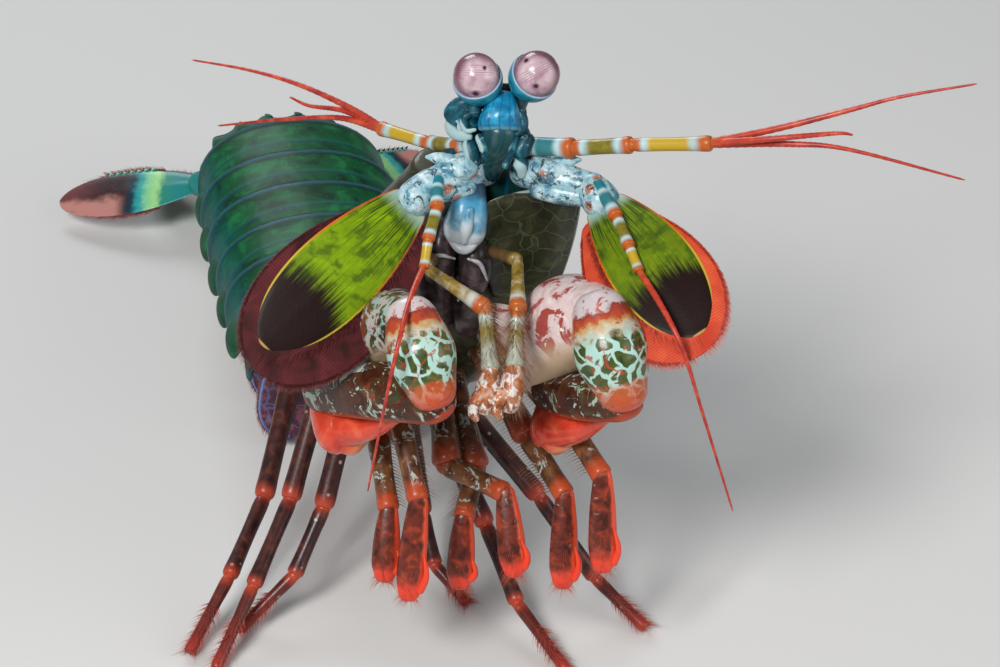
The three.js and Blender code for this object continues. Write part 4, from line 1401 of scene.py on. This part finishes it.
# %% Paints of wrist, hand and club
paint = Paint("claw_carpus", rough=0.34, coat=0.55)
paint.ground([(0.015, 0.03, 0.008), (0.05, 0.08, 0.015), (0.12, 0.1, 0.02)], 2)
paint.net((0.4, 0.62, 0.54), 2.4, 0.13, 0.95)
paint.marble((0.45, 0.6, 0.55), 1.7, 0.6, 0.65, 0.9)
paint.bands([(0.0, (0.6, 0.52, 0.52, 1)), (0.16, (0.55, 0.47, 0.47, 1)), (0.2, (0.25, 0.04, 0.03, 1)),
             (0.26, (0.42, 0.06, 0.02, 1)), (0.31, (0.5, 0.3, 0.12, 1)),
             (0.36, (0.55, 0.48, 0.36, 0.9)), (0.43, (0.3, 0.2, 0.1, 0)), (0.72, (0.5, 0.1, 0.02, 0)),
             (0.8, (0.5, 0.09, 0.02, 0.8)), (1.0, (0.55, 0.06, 0.02, 1))], rag=0.2)
paint.marble((0.4, 0.05, 0.02), 2.2, 0.57, 0.61, 0.85)
claw_carpus = paint.done(0.6, 0.3)
paint = Paint("claw_hand", rough=0.4, coat=0.3, shine=0.2)
paint.ground([(0.03, 0.006, 0.003), (0.06, 0.016, 0.005), (0.04, 0.05, 0.015)], 2.5)
paint.marble((0.4, 0.5, 0.42), 2.2, 0.56, 0.6, 0.9)
paint.marble((0.25, 0.04, 0.015), 2.5, 0.55, 0.65, 0.7)
paint.over(paint.between(paint.up, -0.45, -0.8), (0.42, 0.05, 0.015))
paint.bands([(0.9, (0.4, 0.07, 0.02, 0)), (0.97, (0.5, 0.09, 0.02, 0.9))], rag=0.1)
claw_hand = paint.done(0.6, 0.3)
paint = Paint("club", rough=0.22, coat=0.9, thin=0.05)
paint.ground([(0.45, 0.025, 0.01), (0.6, 0.05, 0.02), (0.72, 0.12, 0.05)], 3.5)
paint.bands([(0.8, (0.7, 0.25, 0.1, 0)), (1.0, (0.72, 0.3, 0.14, 0.7))], rag=0.1)
club_red = paint.done(0.5, 0.1)

# %% Both claws
THIGH = {"R": ((-1.0, 0.6, 2.0), (3.3, 5.3, 3.8)), "L": ((-0.9, 1.2, 2.8), (3.9, 6.0, 4.2))}
WRIST = {"R": (3.5, 4.5, 3.2), "L": (3.8, 4.9, 3.4)}
PALM = {"R": (3.3, 4.0, 3.4), "L": (3.0, 3.2, 3.0)}
PALM_LIFT = {"R": 0.6, "L": -0.4}
CLUB_OUT = {"R": 1.4, "L": 0.4}

for side, places in CLAWS.items():
    root, knee, wrist, knuckle, heel, bulb, point = (Vector(at) for at in places.values())
    out, girth = THIGH[side]
    thigh = knee.lerp(wrist, 0.5) + Vector(out)
    pieces = [stick(root, knee, [2.5, 2.4, 2.8], 14, 8),
              rod([knee, thigh, wrist], girth, 28, 14, flat=1.06, full=0.92)]
    finish_piece(pieces, "claw_thigh_" + side, MERUS_PAINT[side], ["claw_merus_" + side])
    top = wrist + Vector((0, -0.7, 1.5))
    dome = top.lerp(knuckle, 0.5) + Vector((0, -0.4, 0.2))
    finish_piece([rod([top, dome, knuckle], WRIST[side], 28, 12)], "claw_wrist_" + side, claw_carpus,
                 ["claw_carpus_" + side])
    palm = knuckle.lerp(heel, 0.5) + Vector((0, -0.4, PALM_LIFT[side]))
    hand = [knuckle + Vector((0, 1, -2)), palm, heel + Vector((0, 0, 0.5))]
    finish_piece([rod(hand, PALM[side], 28, 14, full=0.85)], "claw_hand_" + side, claw_hand,
                 ["claw_propodus_" + side])
    club = bulb + Vector((0.4, -1.6, 0.6))
    heel_end = club + Vector((CLUB_OUT[side], -0.8, -0.8))
    finger = club.lerp(point, 0.5) + Vector((0, 0, -0.6))
    pieces = [rod([heel + Vector((0.6, -0.8, -2.2)), club, heel_end], [3.0, 3.5, 2.4], 24, 10),
              rod([club + Vector((0, 0, 0.6)), finger, point], [3.1, 1.7, 0.4], 18, 12)]
    finish_piece(pieces, "claw_club_" + side, club_red, ["claw_dactyl_" + side])

# %% [markdown]
# ## Cleaning limbs
# The first pair of mouth limbs is slender and hairy, and ends in a small two-lobed palm. The hairs
# stand out all round, so their ways are drawn at random and turned square to the limb.

# %% Cleaning limbs: places and paints
paint = Paint("cleaner_palm", rough=0.42, coat=0.35)
paint.ground([(0.2, 0.05, 0.02), (0.42, 0.13, 0.04), (0.6, 0.36, 0.25)], 1.8)
paint.marble((0.75, 0.72, 0.68), 2.2, 0.5, 0.56, 0.95)
cleaner_palm = paint.done(0.4, 0.3)
CLEANERS = {
    "R": [(-8, 4, 55.5), (-9.8, -6, 59.2), (-1.9, -11.5, 56.4), (-1.2, -18, 51), (-1.9, -20.5, 47)],
    "L": [(-2.4, 4, 56), (2.3, -5.1, 59.8), (2.3, -13, 57), (1.9, -18, 51.5), (1.2, -20.5, 47.3)],
}
paint = Paint("cleaning_limb", rough=0.42, coat=0.35)
paint.ground([(0.12, 0.07, 0.01), (0.25, 0.16, 0.02), (0.4, 0.36, 0.25)], 1.5)
paint.bands([(0.0, (0.06, 0.03, 0.015, 1)), (0.27, (0.1, 0.05, 0.02, 0.8)),
             (0.36, (0.25, 0.16, 0.02, 0)), (0.54, (0.3, 0.2, 0.04, 0)), (0.6, (0.5, 0.52, 0.46, 1)),
             (0.635, (*ORANGE, 1)), (0.69, (*ORANGE, 0.8)), (0.72, (0.45, 0.55, 0.5, 0.9)),
             (0.8, (0.2, 0.18, 0.04, 0.5)), (0.92, (0.45, 0.55, 0.5, 0.6))], rag=0.05)
cleaning_limb = paint.done(0.4, 0.3)


# %% Hairs
def hairs_along(points, draw, count, length, radius, start):
    """Fine hairs that stand out all round a limb."""
    points = [Vector(p) for p in points]
    roots = []
    for i in range(count):
        t = start + (1 - start) * (i + draw.random()) / count
        here, way = smooth(points, min(t, 1)), heading(points, min(t, 1))
        out = Vector([draw.gauss(0, 1) for axis in range(3)])
        out = (out - way * out.dot(way)).normalized()
        direction = (out + way * 0.7).normalized()
        size = length * draw.uniform(0.6, 1)
        roots.append((here + out * 0.3, direction, size, way * 0.3 * size, radius, t * 0.9, draw.random()))
    return roots


# %% Cleaning limbs
draw = random.Random(11)
for side, points in CLEANERS.items():
    node = "maxilliped_1_" + side
    palm, tip = Vector(points[3]), Vector(points[4])
    lump = stick(palm, tip, [1.1, 1.7, 1.3], 18, 8, flow_from=0.76)
    bent = [palm + Vector((0, -0.5, -1)), tip + Vector((-1.6, -1, 0.6)), tip + Vector((-1.2, -1.2, -1))]
    thumb = rod(bent, [0.9, 1.0, 0.5], 12, 6, flow_from=0.8)
    finish_piece(articles(points[:4], [1.05, 0.9, 1.2, 1.2], 14), "cleaner_" + side, cleaning_limb,
                 [node])
    finish_piece([lump, thumb], "cleaner_palm_" + side, cleaner_palm, [node])
    bristles("cleaner_hairs_" + side, hairs_along(points, draw, 800, 2.8, 0.07, 0.48), pale_bristle,
             [node])

# %% [markdown]
# ## Arms
# Three pairs of arms hang before the mouth. Each has two articles and a flat oval hand with a red
# tip, a small hook folded over the hand, and a comb of pale bristles along its inner side.

# %% Places of the arms
ARMS = {
    "3_R": {"arm": [(-12, 8, 43), (-13.5, -7, 35.5), (-10.9, -15.6, 28.4)], "tip": (-12.4, -20, 15.4)},
    "4_R": {"arm": [(-13.5, 9, 41), (-16.6, -5, 31.6), (-15, -13.6, 25.4)], "tip": (-15.6, -18, 17)},
    "5_R": {"arm": [(-9, 9, 37), (-7.3, -4, 26), (0.8, -10.5, 26)], "tip": (2, -16, 16.3)},
    "3_L": {"arm": [(-3, 7, 42), (8.7, -7, 36.2), (13.7, -15, 32)], "tip": (13.8, -19, 19.4)},
    "4_L": {"arm": [(-4, 8, 39), (3.8, -5, 31.5), (8.8, -13, 27.4)], "tip": (8.5, -18, 15.9)},
    "5_L": {"arm": [(-7, 9, 34.5), (-3.4, -2, 24), (-5, -9, 20.6)], "tip": (-5.6, -12.5, 11.5)},
}

# %% Paints of the arms
paint = Paint("arm", rough=0.4, coat=0.35)
paint.ground([(0.04, 0.014, 0.006), (0.12, 0.045, 0.015), (0.22, 0.08, 0.025)], 2)
paint.marble((0.42, 0.48, 0.42), 2.4, 0.57, 0.61, 0.9)
paint.bands([(0.38, (0.2, 0.03, 0.01, 0)), (0.48, (0.36, 0.05, 0.015, 0.9)),
             (0.52, (0.36, 0.05, 0.015, 0.7)), (0.56, (0.2, 0.03, 0.01, 0)),
             (0.84, (0.2, 0.03, 0.01, 0)), (0.96, (0.42, 0.06, 0.015, 1))], rag=0.1)
arm_shell = paint.done(0.5, 0.3)
paint = Paint("arm_hand", rough=0.36, coat=0.45)
paint.ground([(0.05, 0.01, 0.006), (0.13, 0.02, 0.01), (0.28, 0.04, 0.015)], 1.5)
paint.marble((0.4, 0.42, 0.36), 1.6, 0.66, 0.7, 0.7)
paint.bands([(0.0, (0.4, 0.07, 0.02, 0.8)), (0.06, (0.3, 0.06, 0.02, 0)), (0.62, (0.5, 0.04, 0.02, 0)),
             (0.85, (0.75, 0.05, 0.02, 1))], rag=0.3)
palm_edge = paint.plus(paint.across, paint.times(paint.noise(1.6), 0.5))
paint.over(paint.times(paint.between(palm_edge, -0.2, -0.5), 0.9), (0.75, 0.07, 0.02))
arm_hand = paint.done(0.5, 0.3)


# %% Combs
COMB_COUNT = 44
COMB_TURN = 0.54
COMB_OUT = 1.3


def comb_roots(shoulder, elbow, wrist, inward):
    """Roots down the upper article, then down the next."""
    roots = []
    for i in range(COMB_COUNT):
        share = i / COMB_COUNT
        here = shoulder.lerp(elbow, 0.35 + share * 1.2)
        if share >= COMB_TURN:
            here = elbow.lerp(wrist, (share - COMB_TURN) * 2)
        roots.append((here + inward * COMB_OUT, inward, draw.uniform(2.2, 3), Vector((0, -0.2, -1.1)),
                      0.1, share * 0.9, 0.5))
    return roots


# %% Arms
for name, limb in ARMS.items():
    node = "maxilliped_" + name
    finish_piece(articles(limb["arm"], [1.9, 1.95, 1.4], 16), "arm_" + name, arm_shell, [node])
    shoulder, elbow, wrist = (Vector(at) for at in limb["arm"])
    tip = Vector(limb["tip"])
    way = (tip - wrist).normalized()
    hand = rod([wrist, wrist.lerp(tip, 0.35), wrist.lerp(tip, 0.75), tip - way * 0.8],
               [1.3, 1.8, 1.95, 1.5], 22, 14, flat=0.68, up=(0, -1, 0.3), full=0.9)
    hook = rod([tip - way * 1.5 + Vector((1.5, -0.6, 0)), wrist.lerp(tip, 0.72) + Vector((2.1, -1, 0)),
                wrist.lerp(tip, 0.5) + Vector((1.5, -1.4, 0))], [0.6, 0.5, 0.12], 10, 8, flow_from=0.97)
    finish_piece([hand, hook], "arm_hand_" + name, arm_hand, [node])
    inward = Vector((1 if name.endswith("R") else -1, 0.3, -0.5)).normalized()
    bristles("arm_comb_" + name, comb_roots(shoulder, elbow, wrist, inward), pale_bristle, [node])
    roots = hairs_along([wrist.lerp(tip, 0.35), wrist.lerp(tip, 0.7), tip], draw, 300, 2.6, 0.06, 0.2)
    bristles("arm_hairs_" + name, roots, red_bristle, [node])

# %% [markdown]
# ## Walking legs
# Three pairs of thin legs with red joints stand on the floor. Each ends in a short brush of stiff
# red bristles. A bristle that would reach the floor is cut short above it.

# %% Places and paint of the legs
LEGS = {
    "1_R": [(-20, 13, 31), (-25, 2.5, 14), (-29, -4, 7), (-36.7, -8.5, 0)],
    "2_R": [(-25, 18, 27), (-29.8, 4.5, 14), (-34.6, -6.5, 7), (-39.4, -17.4, 0)],
    "3_R": [(-30.5, 25, 21), (-34, 9, 11), (-38.2, -3.5, 6.4), (-43.4, -13.6, 0)],
    "1_L": [(-8, 12, 29), (5.5, 2.5, 16), (13.4, -3, 5.8), (20.5, -8.1, 0)],
    "2_L": [(-11, 17, 25), (-2, 3, 10.5), (2.4, -7, 4.4), (9.2, -17.5, 0)],
    "3_L": [(-14, 23, 21), (-11.2, 8.5, 8.5), (-9.4, 2.5, 3.8), (-4.6, -2.6, 0)],
}
paint = Paint("leg", rough=0.42, coat=0.35)
paint.ground([(0.018, 0.006, 0.005), (0.045, 0.012, 0.01), (0.1, 0.025, 0.015)], 1.6)
paint.specks((0.45, 0.42, 0.38), 2.4, 0.15, 0.7)
paint.bands([(0.29, (0.3, 0.03, 0.02, 0)), (0.33, (0.4, 0.05, 0.02, 1)), (0.38, (0.2, 0.02, 0.01, 0)),
             (0.62, (0.3, 0.03, 0.02, 0)), (0.67, (0.42, 0.05, 0.02, 1)),
             (0.73, (0.2, 0.02, 0.01, 0.3)), (0.9, (0.25, 0.02, 0.015, 0.5)),
             (1.0, (0.35, 0.03, 0.02, 1))], rag=0.02)
leg_shell = paint.done(0.5, 0.3)

# %% Legs
FOOT_LIFT = Vector((0, 0, 0.8))
for name, points in LEGS.items():
    node = "walking_leg_" + name
    ends = [Vector(at) for at in points]
    ends[-1] += FOOT_LIFT
    finish_piece(articles(ends, [2.0, 1.4, 1.15, 0.8], 14), "leg_" + name, leg_shell, [node])
    brush = ends[2].lerp(ends[3], 0.35)
    roots = []
    for root in hairs_along([brush, brush.lerp(ends[3], 0.5), ends[3]], draw, 260, 2.3, 0.09, 0.0):
        here, direction, length, bend, *rest = root
        room = here.z / max(0.1, -(direction.z * length + bend.z))
        if 0 <= room <= 1:
            root = (here, direction, length * room * 0.9, bend * room * 0.9, *rest)
        roots.append(root)
    bristles("leg_brush_" + name, roots, red_bristle, [node])

# %% [markdown]
# ## Swimming flaps
# Under each of the first five rings of the abdomen hangs a pair of dark purple flaps with blue veins
# and a pink fringe.

# %% Paint of the flaps
paint = Paint("pleopod", rough=0.4, coat=0.3, thin=0.1)
paint.ground([(0.02, 0.006, 0.012), (0.06, 0.014, 0.03), (0.16, 0.05, 0.07)], 1.8)
paint.net((0.05, 0.12, 0.3), 3.0, 0.05, 0.5)
paint.over(paint.between(paint.size(paint.across), 0.86, 0.96), (0.12, 0.2, 0.4))
flap_skin = paint.done(0.5, 0.25)

# %% Swimming flaps
FLAP_FACE = (0, -1, 0.3)
FLAP_WIDE = 8.8
draw = random.Random(19)
for n in range(1, 6):
    ring = trunk((ABDOMEN[n - 1] + ABDOMEN[n]) / 2)
    middle = ring["centre"]
    for side, hand in (("R", -1), ("L", 1)):
        place = f"{n}_{side}"
        node = "pleopod_" + place
        root = middle + Vector((hand * 7, 0, -0.75 * ring["low"]))
        tip = Vector((middle.x + hand * 8.5, middle.y - 3, 1.8))
        inner_root = root + Vector((-hand * 2, 1.2, 0))
        inner_tip = tip + Vector((-hand * 3.5, 1.5, 0.6))
        pieces = [leaf(root, tip, FLAP_FACE, FLAP_WIDE, 1.2, 0.6, 0.6, steps=14, rib=0.4),
                  leaf(inner_root, inner_tip, FLAP_FACE, 6.5, 0.9, 0.6, 0.6, steps=12)]
        finish_piece(pieces, "flap_" + place, flap_skin, [node])
        edge = leaf_edge(root, tip, FLAP_FACE, FLAP_WIDE, 0.6, 0.6)
        roots = fringe_roots(edge, draw, 110, 1.7, 0.35, 0.09, droop=(0, 0, 0))
        bristles("flap_fringe_" + place, roots, pink_bristle, [node])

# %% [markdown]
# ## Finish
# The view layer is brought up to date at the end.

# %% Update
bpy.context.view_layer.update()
